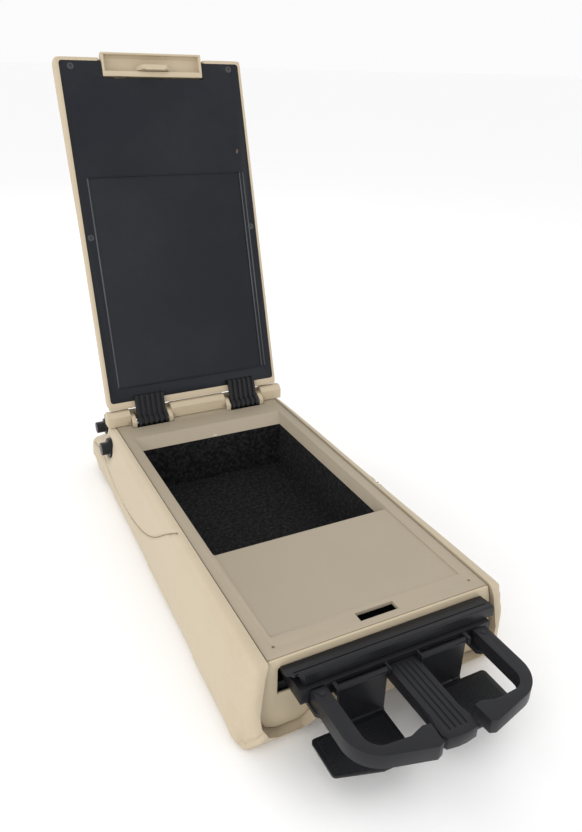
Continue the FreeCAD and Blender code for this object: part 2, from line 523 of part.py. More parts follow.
# black flap over the mouth, broken at its front left corner
flap_z = "(top - flap_top)"
flap_profile = prism("flap_profile", "YZ", "-flap_half", "2 * flap_half", [
    ("-front - bezel - 1", flap_z + " - 4.6"), ("-front - bezel - 1", flap_z + " - 2.1"),
    ("-front - flap_front + 2", flap_z), ("-front - flap_front", flap_z + " - 1"),
    ("-front - flap_front - 1", flap_z + " - flap_lip"), ("-front - flap_front + 1.4", flap_z + " - flap_lip"),
    ("-front - flap_front + 2.4", flap_z + " - flap_plate - 0.6")])
flap_lugs = []
for i, (a, b) in enumerate((("flap_half - 5", "flap_half - 1.5"), ("-flap_half + 1.5", "-flap_half + 5"))):
    flap_lugs.append(prism("flap_lug_%d" % i, "YZ", a, "3.5", [
        ("-front - bezel - 6", flap_z + " - 5.5"), ("-front - bezel - 6", flap_z + " - 3"),
        ("-front - bezel - 2", flap_z + " - 3"), ("-front - bezel - 1.2", "top - mouth_top - 2.4"),
        (hinge_y + " + 1", "top - mouth_top - 0.8"), (hinge_y + " + 2.6", hinge_z + " + 0.5"),
        (hinge_y + " + 1.5", hinge_z + " - 2.6"), (hinge_y + " - 2", hinge_z + " - 2.6"),
        ("-front - bezel - 3.5", hinge_z + " - 2.3")]))
flap_groove = block("flap_groove", "-flap_half + 6", "flap_half - 4", "-front - flap_front + 6.2",
                    "-front - flap_front + 7.4", flap_z + " - 1.5", flap_z + " + 1")
broken = prism("broken_corner", "XY", flap_z + " - flap_lip - 2", "flap_lip + 6", [
    ("-flap_half - 1", "-front - flap_front - 3"), ("-flap_half + break_wide", "-front - flap_front - 3"),
    ("-flap_half + break_wide - 1.5", "-front - flap_front + 1"), ("-flap_half + break_wide - 4", "-front - flap_front + 2.2"),
    ("-flap_half + break_wide - 5", "-front - flap_front + 4.6"), ("-flap_half + 5.5", "-front - flap_front + 4"),
    ("-flap_half + 4", "-front - flap_front + break_long - 2.5"), ("-flap_half - 1", "-front - flap_front + break_long")])
flap_bores = rod("flap_bores", "X", "-flap_half - 1", hinge_y, hinge_z, "hinge_r + run", "2 * flap_half + 2")
fascia = node(cut("fascia_cut", fuse("fascia_solid", flap_profile, *flap_lugs), flap_groove, broken, flap_bores),
              "fascia_flap")
pair(rod("fascia_pin", "X", "flap_half - 5", hinge_y, hinge_z, "hinge_r", "case_half - flap_half + 4.8"), "fascia_pin")

# hinge bar across the back of the tray
bar_y = "(-front + tray_length + seat)"
bar_profile = prism("bar_profile", "YZ", "-bar_end", "2 * bar_end", [
    (bar_y, "top + seat"), (bar_y + " + bar_deep", "top + seat"), (bar_y + " + bar_deep", "top + bar_high - 5"),
    (bar_y + " + bar_deep - 5", "top + bar_high"), (bar_y + " + 5", "top + bar_high"), (bar_y, "top + bar_high - 5")])
bar_notches = []
for i, (a, b) in enumerate((("notch_in", "notch_out"), ("-notch_out", "-notch_in"))):
    bar_notches.append(block("bar_notch_%d" % i, a, b, bar_y + " - 1", bar_y + " + bar_deep - 3", "top - 1",
                             "top + bar_high + 1"))
cheeks = []
for i, (a, b) in enumerate((("notch_in + 0.6", "notch_in + 0.6 + cheek"), ("notch_out - 0.6 - cheek", "notch_out - 0.6"))):
    cheeks.append(prism("cheek_%d" % i, "YZ", a, "cheek", [
        ("axis_y - 5.5", "top - 3"), ("back_wall + 1", "top - 3"), ("back_wall + 1", "top + seat"),
        (bar_y + " + bar_deep - 2", "top + seat"), (bar_y + " + bar_deep - 2", "top + 12"),
        ("axis_y + 4", "top + 12"), ("axis_y - 5.5", "top + 6")]))
flange_plate = block("flange_plate", "-tray_half + 8", "tray_half - 8", "back_wall - seat - flange", "back_wall - seat",
                     "carrier_top - 12", "top + 2")
bar_bores = rod("bar_bores", "X", "notch_in - 3", "axis_y", "top + axis_z", "knuckle_pin_r + 0.02", "notch_out - notch_in + 6")
bar_body = fuse("bar_body", cut("bar_notched", bar_profile, *bar_notches), flange_plate, *cheeks,
                *[mirror(c, c.Name + "_left") for c in cheeks])
flange_room = [block("flange_room_%d" % i, a, b, "axis_y - 12", "back_wall - seat + 1", "top - knuckle_r - 2", "top + 4")
               for i, (a, b) in enumerate((("notch_in + 0.6 + cheek", "notch_out - 0.6 - cheek"),
                                           ("-notch_out + 0.6 + cheek", "-notch_in - 0.6 - cheek")))]
hinge_bar = node(cut("bar_cut", bar_body, bar_bores, mirror(bar_bores, "bar_bores_left"), bar_screw_hole,
                     *flange_room), "hinge_bar")
bar_screws = node(fuse("bar_screw_set", *[
    fuse("bar_screw_%d" % i,
         rod("bar_head_%d" % i, "Y", x, "back_wall - seat - flange - 2.6", "carrier_top - 5", "screw_r", "2.5"),
         rod("bar_shank_%d" % i, "Y", x, "back_wall - seat - flange - 1", "carrier_top - 5", "screw_shank", "7"))
    for i, x in enumerate(("-knuckle_in", "knuckle_in"))]), "bar_screws")
pair(rod("knuckle_pin", "X", "notch_in + 0.8", "axis_y", "top + axis_z", "knuckle_pin_r", "notch_out - notch_in - 1.6"),
     "hinge_pin")

# pivot studs and stop pegs on the sides
stud_tail = rod("stud_tail", "X", "tray_half - sheet - tail_in", "stud_y", "stud_z", "tail_r", "tail_in + 5")
pair(fuse("stud", rod("collar", "X", "tray_half + 0.05", "stud_y", "stud_z", "collar_r", "collar_out - tray_half"),
          rod("stub", "X", "collar_out - 1", "stud_y", "stud_z", "stub_r", "stub_long + 1"), stud_tail), "pivot_stud")
peg_tail = rod("peg_tail", "X", "tray_half - sheet - tail_in", "peg_y", "peg_z", "tail_r", "tail_in + 5")
pair(fuse("peg", rod("peg_flange", "X", "tray_half + 0.05", "peg_y", "peg_z", "peg_flange_r", "4"),
          rod("peg_stub", "X", "tray_half + 2", "peg_y", "peg_z", "peg_r", "peg_long - 2"), peg_tail), "stop_peg")

# lid pieces, drawn flat and then leaned back: width, length from the hinge end, inner face at zero
LID = []


def lean(thing):
    """Stand a lid piece up at the open angle."""
    thing.Placement = FreeCAD.Placement(FreeCAD.Vector(0, 0, 0), FreeCAD.Rotation(FreeCAD.Vector(1, 0, 0), 1))
    thing.setExpression(".Placement.Rotation.Angle", bind("lid_angle"))
    return place(thing, "0", "lid_y", "top + lid_z")


def lid_form(name, inset, deep):
    """The rounded block of the lid, drawn in by an inset."""
    across = prism(name + "_across", "XZ", "0", "lid_length", both([
        ("lid_half - lid_round - %s" % inset, "-lid_thick + %s" % inset),
        ("lid_half - lid_round * 0.3 - %s" % inset, "-lid_thick + lid_round * 0.3 + %s" % inset),
        ("lid_half - %s" % inset, "-lid_thick + lid_round + %s" % inset), ("lid_half - %s" % inset, deep)]))
    along = prism(name + "_along", "YZ", "-lid_half", "2 * lid_half", [
        (inset, deep), (inset, "-lid_thick + lid_round + %s" % inset),
        ("lid_round * 0.3 + %s" % inset, "-lid_thick + lid_round * 0.3 + %s" % inset),
        ("lid_round + %s" % inset, "-lid_thick + %s" % inset), ("lid_length - lid_round - %s" % inset, "-lid_thick + %s" % inset),
        ("lid_length - lid_round * 0.3 - %s" % inset, "-lid_thick + lid_round * 0.3 + %s" % inset),
        ("lid_length - %s" % inset, "-lid_thick + lid_round + %s" % inset), ("lid_length - %s" % inset, deep)])
    return common(name, across, along)


lid_out = lid_form("lid_out", "0", "0")
lid_in = lid_form("lid_in", "leather", "-leather")
lid_window = block("lid_window", "-lid_half + lid_rim", "lid_half - lid_rim", "lid_rim - 0.8", "lid_length - lid_rim + 0.8",
                   "-board_at - board", "1")
latch_room = block("latch_room", "-latch_half - 0.8", "latch_half + 0.8", "latch_low - 2.4", "lid_length + 1",
                   "-latch_deep - 6", "1")
leather_latch_room = block("leather_latch_room", "-latch_half - 0.8", "latch_half + 0.8", "latch_low - 2.4",
                           "lid_length + 1", "-latch_deep - 6", "1")
node(lean(cut("lid_leather_cut", lid_out, lid_in, lid_window, leather_latch_room)), "lid_leather")
lid_foam_form = lid_form("lid_foam_form", "(leather + seat)", "-board_at - board - seat / 2")
node(lean(cut("lid_foam_cut", lid_foam_form, latch_room)), "lid_foam")
board_block = block("board_block", "-lid_half + leather + seat", "lid_half - leather - seat", "leather + seat",
                    "lid_length - leather - seat", "-board_at - board", "-board_at")
screw_spots = [("screw_top_x", "screw_top_s"), ("-screw_top_x", "screw_top_s"), ("screw_mid_x", "screw_mid_s"),
               ("-screw_mid_x", "screw_mid_s")]
board_holes = fuse("board_holes", *[rod("board_hole_%d" % i, "Z", x, s, "-board_at - board - 1", "screw_shank + run", "board + 2")
                                    for i, (x, s) in enumerate(screw_spots)])
latch_axis_s = "(latch_low + 3)"
latch_axis_z = "(-board_at - board / 2)"
latch_bore = rod("latch_bore", "X", "-latch_half - 7", latch_axis_s, latch_axis_z, "latch_pin_r + 0.02", "2 * latch_half + 14")
node(lean(cut("board_cut", board_block, board_holes, latch_room, latch_bore)), "lid_board")
panel_block = block("panel_block", "-lid_half + lid_rim + seat", "lid_half - lid_rim - seat", "lid_rim - 0.5",
                    "lid_length - lid_rim + 0.5", "-panel_drop - panel", "-panel_drop")
panel_inset = block("panel_inset", "-inset_half", "inset_half", "inset_low", "inset_high", "-panel_drop - inset_drop", "1")
panel_sinks = fuse("panel_sinks", *[rod("panel_sink_%d" % i, "Z", x, s, "-panel_drop - 1.6", "screw_r + seat", "4")
                                    for i, (x, s) in enumerate(screw_spots)])
panel_holes = fuse("panel_holes", *[rod("panel_hole_%d" % i, "Z", x, s, "-panel_drop - panel - 1", "screw_shank + run", "panel + 2")
                                    for i, (x, s) in enumerate(screw_spots)])
node(lean(cut("panel_cut", panel_block, panel_inset, panel_sinks, panel_holes, latch_room)), "lid_panel")
node(lean(fuse("lid_screw_set", *[
    fuse("lid_screw_%d" % i, rod("lid_head_%d" % i, "Z", x, s, "-panel_drop - 1.55", "screw_r", "1.7"),
         rod("lid_shank_%d" % i, "Z", x, s, "-panel_drop - screw_long", "screw_shank", "screw_long - 1"))
    for i, (x, s) in enumerate(screw_spots)])), "lid_screws")

# latch paddle, its rod and its spring
paddle_solid = prism("paddle_solid", "YZ", "-latch_half", "2 * latch_half", [
    ("latch_low", "-latch_deep + 2"), ("latch_low + 2", "-latch_deep"), ("latch_high - 5", "-latch_deep + 1"),
    ("latch_high", "-latch_deep + 6"), ("latch_high", "0.6"), ("latch_high - 2", "1.2"), ("latch_low + 2", "0"),
    ("latch_low", "-1")])
paddle_room = prism("paddle_room", "YZ", "-latch_half + latch_wall", "2 * (latch_half - latch_wall)", [
    ("latch_low + 6", "-latch_deep + 2.6"), ("latch_high - 5", "-latch_deep + 3.6"), ("latch_high - 2.4", "-latch_deep + 7"),
    ("latch_high - 2.4", "2"), ("latch_low + 6", "2")])
hook = prism("hook", "XZ", "hook_s", "hook_thick", both([
    ("hook_root", "-latch_deep + 1.4"), ("hook_root - 2", "2"), ("hook_half", "hook_reach")]))
hook_nose = block("hook_nose", "-hook_half + 2", "hook_half - 2", "hook_s - 1", "hook_s + 1", "hook_reach - 3", "hook_reach")
paddle_bore = rod("paddle_bore", "X", "-latch_half - 1", latch_axis_s, latch_axis_z, "latch_pin_r + run", "2 * latch_half + 2")
spring_room = block("spring_room", "-latch_half + 16", "-latch_half + 30", "latch_low - 1", "latch_low + 6.5", "-latch_deep - 1",
                    latch_axis_z + " + 4.5")
node(lean(cut("paddle_cut", fuse("paddle_join", cut("paddle_dish", paddle_solid, paddle_room), hook, hook_nose),
              paddle_bore, spring_room)), "latch_paddle")
node(lean(fuse("latch_pin_solid",
               rod("latch_pin_thin", "X", "-latch_half - 6.5", latch_axis_s, latch_axis_z, "latch_pin_r",
                   "latch_half + 7"),
               rod("latch_pin_rest", "X", "0", latch_axis_s, latch_axis_z, "latch_pin_r", "latch_half + 6.5"))),
     "latch_pin")
node(lean(cut("spring_tube", rod("spring_out", "X", "-latch_half + 17", latch_axis_s, latch_axis_z, "latch_pin_r + 1.1", "12"),
              rod("spring_in", "X", "-latch_half + 16", latch_axis_s, latch_axis_z, "latch_pin_r + 0.02", "14"))),
     "latch_spring")

# ribbed hinge arms of the lid, drawn in the lid's flat frame
DEG = "lid_angle"
arm_s = -23.9
arm_n = 3.6
knuckle_face = [
    (arm_s - 8, arm_n - 1), (arm_s - 6.4, arm_n - 4.8), (arm_s - 2, arm_n - 7.6), (arm_s + 3, arm_n - 7),
    (arm_s + 8, arm_n - 3.4), (-2, 0.5), (4.6, 0.5), (4.9, -0.65), (12, -0.65), (12, 3.4), (9, 4.9), (-8, 5), (-14.6, 5),
    (arm_s + 6.2, arm_n + 4.9), (arm_s + 3, arm_n + 7.3), (arm_s - 2, arm_n + 7.7), (arm_s - 6, arm_n + 5.2)]
knuckle_core = [
    (arm_s - 5, arm_n - 1), (arm_s - 4, arm_n - 3), (arm_s - 1.2, arm_n - 4.8), (arm_s + 3, arm_n - 5),
    (arm_s + 8, arm_n - 2.2), (-2, 0.5), (4.6, 0.5), (4.9, -0.65), (11, -0.65), (11, 1.6), (-8, 2.4), (-15.6, 2.2),
    (arm_s + 3.6, arm_n + 3.6), (arm_s + 1.4, arm_n + 4.8), (arm_s - 2, arm_n + 4.8), (arm_s - 4.6, arm_n + 2)]
fins = [prism("fin_%d" % i, "YZ", "knuckle_in + %d * (fin + fin_gap)" % i, "fin", knuckle_face) for i in range(6)]
core = prism("knuckle_core", "YZ", "knuckle_in + 0.5", "6 * fin + 5 * fin_gap - 1", knuckle_core)
knuckle_bore = rod("knuckle_bore", "X", "knuckle_in - 2", str(arm_s), str(arm_n), "knuckle_pin_r + run", "60")
knuckle = lean(cut("knuckle_cut", fuse("knuckle_solid", core, *fins), knuckle_bore))
pair(knuckle, "hinge_arm")

DOC.recompute()
os.makedirs("parts", exist_ok=True)
for thing, label in NODES:
    bad = [s for s in thing.State if s in ("Invalid", "Error")]
    if bad or thing.Shape.isNull() or not thing.Shape.isValid():
        raise RuntimeError("%s did not build: %s" % (label, thing.State))
for thing, label in NODES:
    thing.Shape.exportStep("parts/%s.step" % label)
    print(label, len(thing.Shape.Solids), [round(v, 1) for v in (
        thing.Shape.BoundBox.XMin, thing.Shape.BoundBox.XMax, thing.Shape.BoundBox.YMin, thing.Shape.BoundBox.YMax,
        thing.Shape.BoundBox.ZMin, thing.Shape.BoundBox.ZMax)], round(thing.Shape.Volume / 1000, 2))
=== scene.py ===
"""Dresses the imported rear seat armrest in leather, mouldings, felt and metal on a pale floor."""

import json
import logging
import math
from dataclasses import dataclass, field
from enum import Enum
from typing import ClassVar

import bpy
import numpy as np
from mathutils import Matrix, Vector

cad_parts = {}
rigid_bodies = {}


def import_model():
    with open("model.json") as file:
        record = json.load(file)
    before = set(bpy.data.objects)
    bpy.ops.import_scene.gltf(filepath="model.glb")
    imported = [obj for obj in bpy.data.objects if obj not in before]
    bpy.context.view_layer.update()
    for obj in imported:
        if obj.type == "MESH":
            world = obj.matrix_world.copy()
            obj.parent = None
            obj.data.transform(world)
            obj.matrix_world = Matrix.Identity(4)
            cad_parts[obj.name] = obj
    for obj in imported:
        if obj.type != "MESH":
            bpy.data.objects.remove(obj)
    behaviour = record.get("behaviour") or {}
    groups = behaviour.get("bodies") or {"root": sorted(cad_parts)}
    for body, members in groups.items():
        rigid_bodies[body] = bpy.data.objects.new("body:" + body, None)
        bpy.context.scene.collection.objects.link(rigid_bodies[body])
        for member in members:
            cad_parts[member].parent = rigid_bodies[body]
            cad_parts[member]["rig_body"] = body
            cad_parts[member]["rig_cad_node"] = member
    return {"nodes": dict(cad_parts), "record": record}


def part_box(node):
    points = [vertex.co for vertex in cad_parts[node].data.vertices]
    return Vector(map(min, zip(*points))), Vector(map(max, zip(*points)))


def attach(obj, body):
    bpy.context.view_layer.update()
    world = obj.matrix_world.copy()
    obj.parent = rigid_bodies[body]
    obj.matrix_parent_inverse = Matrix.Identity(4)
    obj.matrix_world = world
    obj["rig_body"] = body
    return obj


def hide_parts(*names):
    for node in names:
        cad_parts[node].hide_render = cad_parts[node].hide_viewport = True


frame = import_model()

LOG = logging.getLogger("armrest")
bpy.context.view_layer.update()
BODY_OF = {node: body for body, nodes in frame["record"]["behaviour"]["bodies"].items() for node in nodes}
SLOT_OF = {row["node"]: row["material_slot"] for row in frame["record"]["subparts"]}
Point = tuple[float, float, float]
Spot = tuple[float, float]

# how copies of the CAD meshes are merged, and how blocks to cut with are rounded, in metres
MERGE_GAP = 2e-6
FLAT_ANGLE = math.radians(0.4)
BLOCK_CORNER = 0.004
BLOCK_SEGMENTS = 4
LEVEL = 1e-4
ROUND_SHADING = 60.0

# the lid's own axes: across, up the lid, and out of its inner face
LID_FOOT = Vector((0, 0.2692, 0.115))
LID_TILT = math.radians(72.8)
LID_AXES = Matrix.Translation(LID_FOOT) @ Matrix.Rotation(LID_TILT, 4, "X")


class Texture(Enum):
    """How the surface of a finish is broken up."""

    GRAIN = "leather grain"
    SPARK = "spark eroded mould texture"
    FELT = "flocked felt"
    BRUSHED = "drawn metal"
    CELLS = "open foam cells"


@dataclass(frozen=True)
class Finish:
    """One surface finish, as a procedural material on object coordinates."""

    name: str
    colour: Point
    worn: Point
    roughness: float
    texture: Texture
    scale: float
    bump: float
    metallic: float = 0.0
    sheen: float = 0.0
    patch: float = 9.0
    specular: float = 0.5

    SHEEN_ROUGHNESS: ClassVar[float] = 0.6
    PATCH_RANGE: ClassVar[Spot] = (0.42, 0.78)
    SPECK_RANGE: ClassVar[Spot] = (0.3, 0.7)
    SPECK_SHARE: ClassVar[float] = 0.35
    CELL_RANGE: ClassVar[Spot] = (0.75, 0.1)
    GLOSS_SPREAD: ClassVar[float] = 0.1
    LEAST_ROUGHNESS: ClassVar[float] = 0.05
    BRUSH_STRETCH: ClassVar[Point] = (0.05, 1.0, 1.0)
    BUMP_DEPTH: ClassVar[float] = 0.0004

    def material(self) -> bpy.types.Material:
        """Make the material, or give back the one made before.

        Returns:
            The material of this finish.
        """
        made = bpy.data.materials.get(self.name)
        if made:
            return made
        made = bpy.data.materials.new(self.name)
        made.use_nodes = True
        tree = made.node_tree
        shader = tree.nodes["Principled BSDF"]
        shader.inputs["Metallic"].default_value = self.metallic
        shader.inputs["Sheen Weight"].default_value = self.sheen
        shader.inputs["Sheen Roughness"].default_value = self.SHEEN_ROUGHNESS
        shader.inputs["Specular IOR Level"].default_value = self.specular
        place = tree.nodes.new("ShaderNodeTexCoord").outputs["Object"]
        patches = self.noise(tree, place, self.patch, 5.0, 0.6)
        fine = self.noise(tree, place, self.scale * self.SPECK_SHARE, 4.0, 0.7)
        self.tint(tree, shader, patches, fine)
        self.gloss(tree, shader, fine)
        self.relief(tree, shader, place)
        return made

    @staticmethod
    def noise(tree: bpy.types.NodeTree, place: bpy.types.NodeSocket, scale: float, detail: float,
              rough: float) -> bpy.types.NodeSocket:
        """Add a noise texture.

        Args:
            tree: The material's nodes.
            place: The coordinates it reads.
            scale: Its frequency per metre.
            detail: Its octaves.
            rough: The share of the finer octaves.

        Returns:
            The noise value's socket.
        """
        made = tree.nodes.new("ShaderNodeTexNoise")
        made.inputs["Scale"].default_value = scale
        made.inputs["Detail"].default_value = detail
        made.inputs["Roughness"].default_value = rough
        tree.links.new(place, made.inputs["Vector"])
        return made.outputs["Fac"]

    @staticmethod
    def ramp(tree: bpy.types.NodeTree, source: bpy.types.NodeSocket, low: float,
             high: float) -> bpy.types.NodeSocket:
        """Stretch the part of a value between low and high to 0 and 1.

        Args:
            tree: The material's nodes.
            source: The value.
            low: What becomes 0.
            high: What becomes 1.

        Returns:
            The stretched value's socket.
        """
        made = tree.nodes.new("ShaderNodeMapRange")
        made.inputs["From Min"].default_value = low
        made.inputs["From Max"].default_value = high
        tree.links.new(source, made.inputs["Value"])
        return made.outputs["Result"]

    def tint(self, tree: bpy.types.NodeTree, shader: bpy.types.ShaderNode, patches: bpy.types.NodeSocket,
             fine: bpy.types.NodeSocket) -> None:
        """Vary the colour between the clean and the worn one, in broad patches and fine specks.

        Args:
            tree: The material's nodes.
            shader: The surface shader.
            patches: The broad noise.
            fine: The fine noise.
        """
        blend = tree.nodes.new("ShaderNodeMath")
        blend.operation = "MULTIPLY"
        tree.links.new(self.ramp(tree, patches, *self.PATCH_RANGE), blend.inputs[0])
        tree.links.new(self.ramp(tree, fine, *self.SPECK_RANGE), blend.inputs[1])
        mix = tree.nodes.new("ShaderNodeMix")
        mix.data_type = "RGBA"
        mix.inputs["A"].default_value = (*self.colour, 1.0)
        mix.inputs["B"].default_value = (*self.worn, 1.0)
        tree.links.new(blend.outputs["Value"], mix.inputs["Factor"])
        tree.links.new(mix.outputs["Result"], shader.inputs["Base Color"])

    def gloss(self, tree: bpy.types.NodeTree, shader: bpy.types.ShaderNode,
              fine: bpy.types.NodeSocket) -> None:
        """Vary the roughness a little about its value.

        Args:
            tree: The material's nodes.
            shader: The surface shader.
            fine: The fine noise.
        """
        made = tree.nodes.new("ShaderNodeMapRange")
        made.inputs["To Min"].default_value = max(self.roughness - self.GLOSS_SPREAD, self.LEAST_ROUGHNESS)
        made.inputs["To Max"].default_value = min(self.roughness + self.GLOSS_SPREAD, 1.0)
        tree.links.new(fine, made.inputs["Value"])
        tree.links.new(made.outputs["Result"], shader.inputs["Roughness"])

    def relief(self, tree: bpy.types.NodeTree, shader: bpy.types.ShaderNode,
               place: bpy.types.NodeSocket) -> None:
        """Raise the fine texture of the finish.

        Args:
            tree: The material's nodes.
            shader: The surface shader.
            place: The coordinates.
        """
        if self.texture in (Texture.GRAIN, Texture.CELLS):
            cells = tree.nodes.new("ShaderNodeTexVoronoi")
            cells.feature = "SMOOTH_F1" if self.texture is Texture.GRAIN else "F1"
            cells.inputs["Scale"].default_value = self.scale
            tree.links.new(place, cells.inputs["Vector"])
            height = self.ramp(tree, cells.outputs["Distance"], *self.CELL_RANGE)
        elif self.texture is Texture.BRUSHED:
            stretch = tree.nodes.new("ShaderNodeMapping")
            stretch.inputs["Scale"].default_value = self.BRUSH_STRETCH
            tree.links.new(place, stretch.inputs["Vector"])
            height = self.noise(tree, stretch.outputs["Vector"], self.scale, 3.0, 0.6)
        else:
            height = self.noise(tree, place, self.scale, 3.0, 0.75)
        bump = tree.nodes.new("ShaderNodeBump")
        bump.inputs["Strength"].default_value = self.bump
        bump.inputs["Distance"].default_value = self.BUMP_DEPTH
        tree.links.new(height, bump.inputs["Height"])
        tree.links.new(bump.outputs["Normal"], shader.inputs["Normal"])


LEATHER = Finish("beige_leather", (0.52, 0.435, 0.31), (0.47, 0.385, 0.27),
                 0.52, Texture.GRAIN, 900, 0.28, sheen=0.06, specular=0.35)
# painted shade: a darker leather tone for the line laid in the flank seams, standing for the shade in the
# seam's crease
SEAM_SHADE = Finish("painted_seam_shade", (0.26, 0.205, 0.135), (0.21, 0.165, 0.11),
              0.7, Texture.GRAIN, 900, 0.2)
LID_LEATHER = Finish("lid_leather_beige", (0.53, 0.44, 0.31), (0.48, 0.39, 0.27),
                     0.5, Texture.GRAIN, 900, 0.25, sheen=0.06, specular=0.35)
BEIGE = Finish("beige_moulding", (0.40, 0.34, 0.255), (0.365, 0.305, 0.225),
               0.5, Texture.SPARK, 2600, 0.18, specular=0.3)
BEIGE_TRIM = Finish("beige_trim", (0.53, 0.445, 0.315), (0.485, 0.40, 0.28),
                    0.5, Texture.SPARK, 2600, 0.18, specular=0.3)
BLACK = Finish("black_moulding", (0.0115, 0.0118, 0.0138), (0.022, 0.0222, 0.025),
               0.36, Texture.SPARK, 2200, 0.2, specular=0.22)
PANEL = Finish("black_panel", (0.0100, 0.0115, 0.0160), (0.021, 0.0225, 0.0275),
               0.32, Texture.SPARK, 1800, 0.26, specular=0.2)
# painted highlight: a brighter, glossier black for the bars that stand for light caught on the long edges
# of the panel's bead
PAINTED_HIGHLIGHT = Finish("painted_highlight_ridge", (0.045, 0.047, 0.052), (0.09, 0.09, 0.095),
               0.3, Texture.SPARK, 1800, 0.2)
FELT = Finish("black_felt", (0.005, 0.005, 0.0056), (0.06, 0.06, 0.063),
              0.95, Texture.FELT, 1400, 0.9, sheen=0.04, patch=260.0, specular=0.05)
SCREW = Finish("blackened_screw", (0.03, 0.031, 0.034), (0.06, 0.06, 0.065),
               0.35, Texture.SPARK, 1200, 0.1)
RUBBED = Finish("rubbed_spot", (0.12, 0.08, 0.05), (0.05, 0.035, 0.025),
                0.6, Texture.SPARK, 1800, 0.4, patch=700.0)
FRAYED = Finish("frayed_spot", (0.72, 0.68, 0.6), (0.55, 0.48, 0.38),
                0.8, Texture.SPARK, 1800, 0.5, patch=700.0)
STEEL = Finish("plain_steel", (0.55, 0.55, 0.56), (0.42, 0.42, 0.43),
               0.32, Texture.BRUSHED, 1500, 0.1, metallic=1.0)
COATED = Finish("coated_steel", (0.012, 0.012, 0.014), (0.02, 0.02, 0.022),
                0.42, Texture.SPARK, 1200, 0.15, specular=0.3)
FOAM = Finish("padding_foam", (0.66, 0.58, 0.4), (0.6, 0.5, 0.33),
              0.9, Texture.CELLS, 700, 0.5)
BY_SLOT = {"leather_beige": LEATHER, "plastic_beige": BEIGE, "plastic_black": BLACK, "felt_black": FELT,
           "foam": FOAM, "steel_black": COATED, "steel_bright": STEEL}


def deselect() -> None:
    """Leave nothing selected, in object mode."""
    if bpy.context.object and bpy.context.object.mode != "OBJECT":
        bpy.ops.object.mode_set(mode="OBJECT")
    bpy.ops.object.select_all(action="DESELECT")


def only(piece: bpy.types.Object) -> None:
    """Select one piece alone and make it active.

    Args:
        piece: The piece.
    """
    deselect()
    piece.select_set(True)
    bpy.context.view_layer.objects.active = piece


def join(pieces: list[bpy.types.Object]) -> bpy.types.Object:
    """Join pieces into the first of them.

    Args:
        pieces: The pieces.

    Returns:
        The joined piece.
    """
    only(pieces[0])
    for piece in pieces[1:]:
        piece.select_set(True)
    if len(pieces) > 1:
        bpy.ops.object.join()
    return pieces[0]


def copy_nodes(name: str, *nodes: str, flats: bool = True) -> bpy.types.Object:
    """Copy CAD nodes into one new free object with its own merged mesh.

    Args:
        name: The new object's name.
        nodes: The nodes to copy.
        flats: Whether flat faces are joined up.

    Returns:
        The new object.
    """
    deselect()
    for node in nodes:
        frame["nodes"][node].hide_set(False)
        frame["nodes"][node].select_set(True)
    bpy.context.view_layer.objects.active = frame["nodes"][nodes[0]]
    bpy.ops.object.duplicate(linked=False)
    if len(nodes) > 1:
        bpy.ops.object.join()
    piece = bpy.context.view_layer.objects.active
    bpy.ops.object.parent_clear(type="CLEAR_KEEP_TRANSFORM")
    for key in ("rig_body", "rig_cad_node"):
        if key in piece:
            del piece[key]
    piece.name = name
    piece.data.name = name
    bpy.ops.object.mode_set(mode="EDIT")
    bpy.ops.mesh.select_all(action="SELECT")
    bpy.ops.mesh.remove_doubles(threshold=MERGE_GAP)
    if flats:
        bpy.ops.mesh.dissolve_limited(angle_limit=FLAT_ANGLE)
    bpy.ops.object.mode_set(mode="OBJECT")
    return piece


def apply_modifier(piece: bpy.types.Object, kind: str, **settings: object) -> None:
    """Add a modifier with these settings and apply it.

    Args:
        piece: The piece.
        kind: The modifier's type.
        settings: Its values.
    """
    only(piece)
    modifier = piece.modifiers.new(kind.lower(), kind)
    for key, value in settings.items():
        setattr(modifier, key, value)
    bpy.ops.object.modifier_apply(modifier=modifier.name)


def smooth(piece: bpy.types.Object, degrees: float = 32.0) -> None:
    """Shade a piece smooth across edges flatter than an angle."""
    only(piece)
    bpy.ops.object.shade_smooth_by_angle(angle=math.radians(degrees))


def coordinates(piece: bpy.types.Object) -> np.ndarray:
    """The vertices of a piece.

    Args:
        piece: The piece.

    Returns:
        Rows of x, y and z.
    """
    flat = np.zeros(len(piece.data.vertices) * 3, np.float32)
    piece.data.vertices.foreach_get("co", flat)
    return flat.reshape(-1, 3).astype(float)


def move_to(piece: bpy.types.Object, rows: np.ndarray) -> None:
    """Put the vertices of a piece at these rows of x, y and z."""
    piece.data.vertices.foreach_set("co", rows.astype(np.float32).ravel())
    piece.data.update()


def normals(piece: bpy.types.Object) -> np.ndarray:
    """The vertex normals of a piece as rows."""
    return np.array([vertex.normal[:] for vertex in piece.data.vertices], float)


def dress(piece: bpy.types.Object, finish: Finish, body: str, slot: str, *nodes: str) -> bpy.types.Object:
    """Give a finished piece its material and body, and hide the nodes that it stands for.

    Args:
        piece: The piece.
        finish: Its finish.
        body: The CAD body that it moves with.
        slot: The record's material slot; not used.
        nodes: The CAD nodes that it replaces.

    Returns:
        The piece.
    """
    piece.data.materials.clear()
    piece.data.materials.append(finish.material())
    for face in piece.data.polygons:
        face.material_index = 0
    if nodes:
        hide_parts(*nodes)
    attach(piece, body)
    LOG.info("%s: %d faces on %s", piece.name, len(piece.data.polygons), body)
    return piece


def drop_onto_lid(piece: bpy.types.Object) -> None:
    """Take a mesh drawn in the lid's own axes to its place on the open lid."""
    piece.data.transform(LID_AXES)
    piece.data.update()


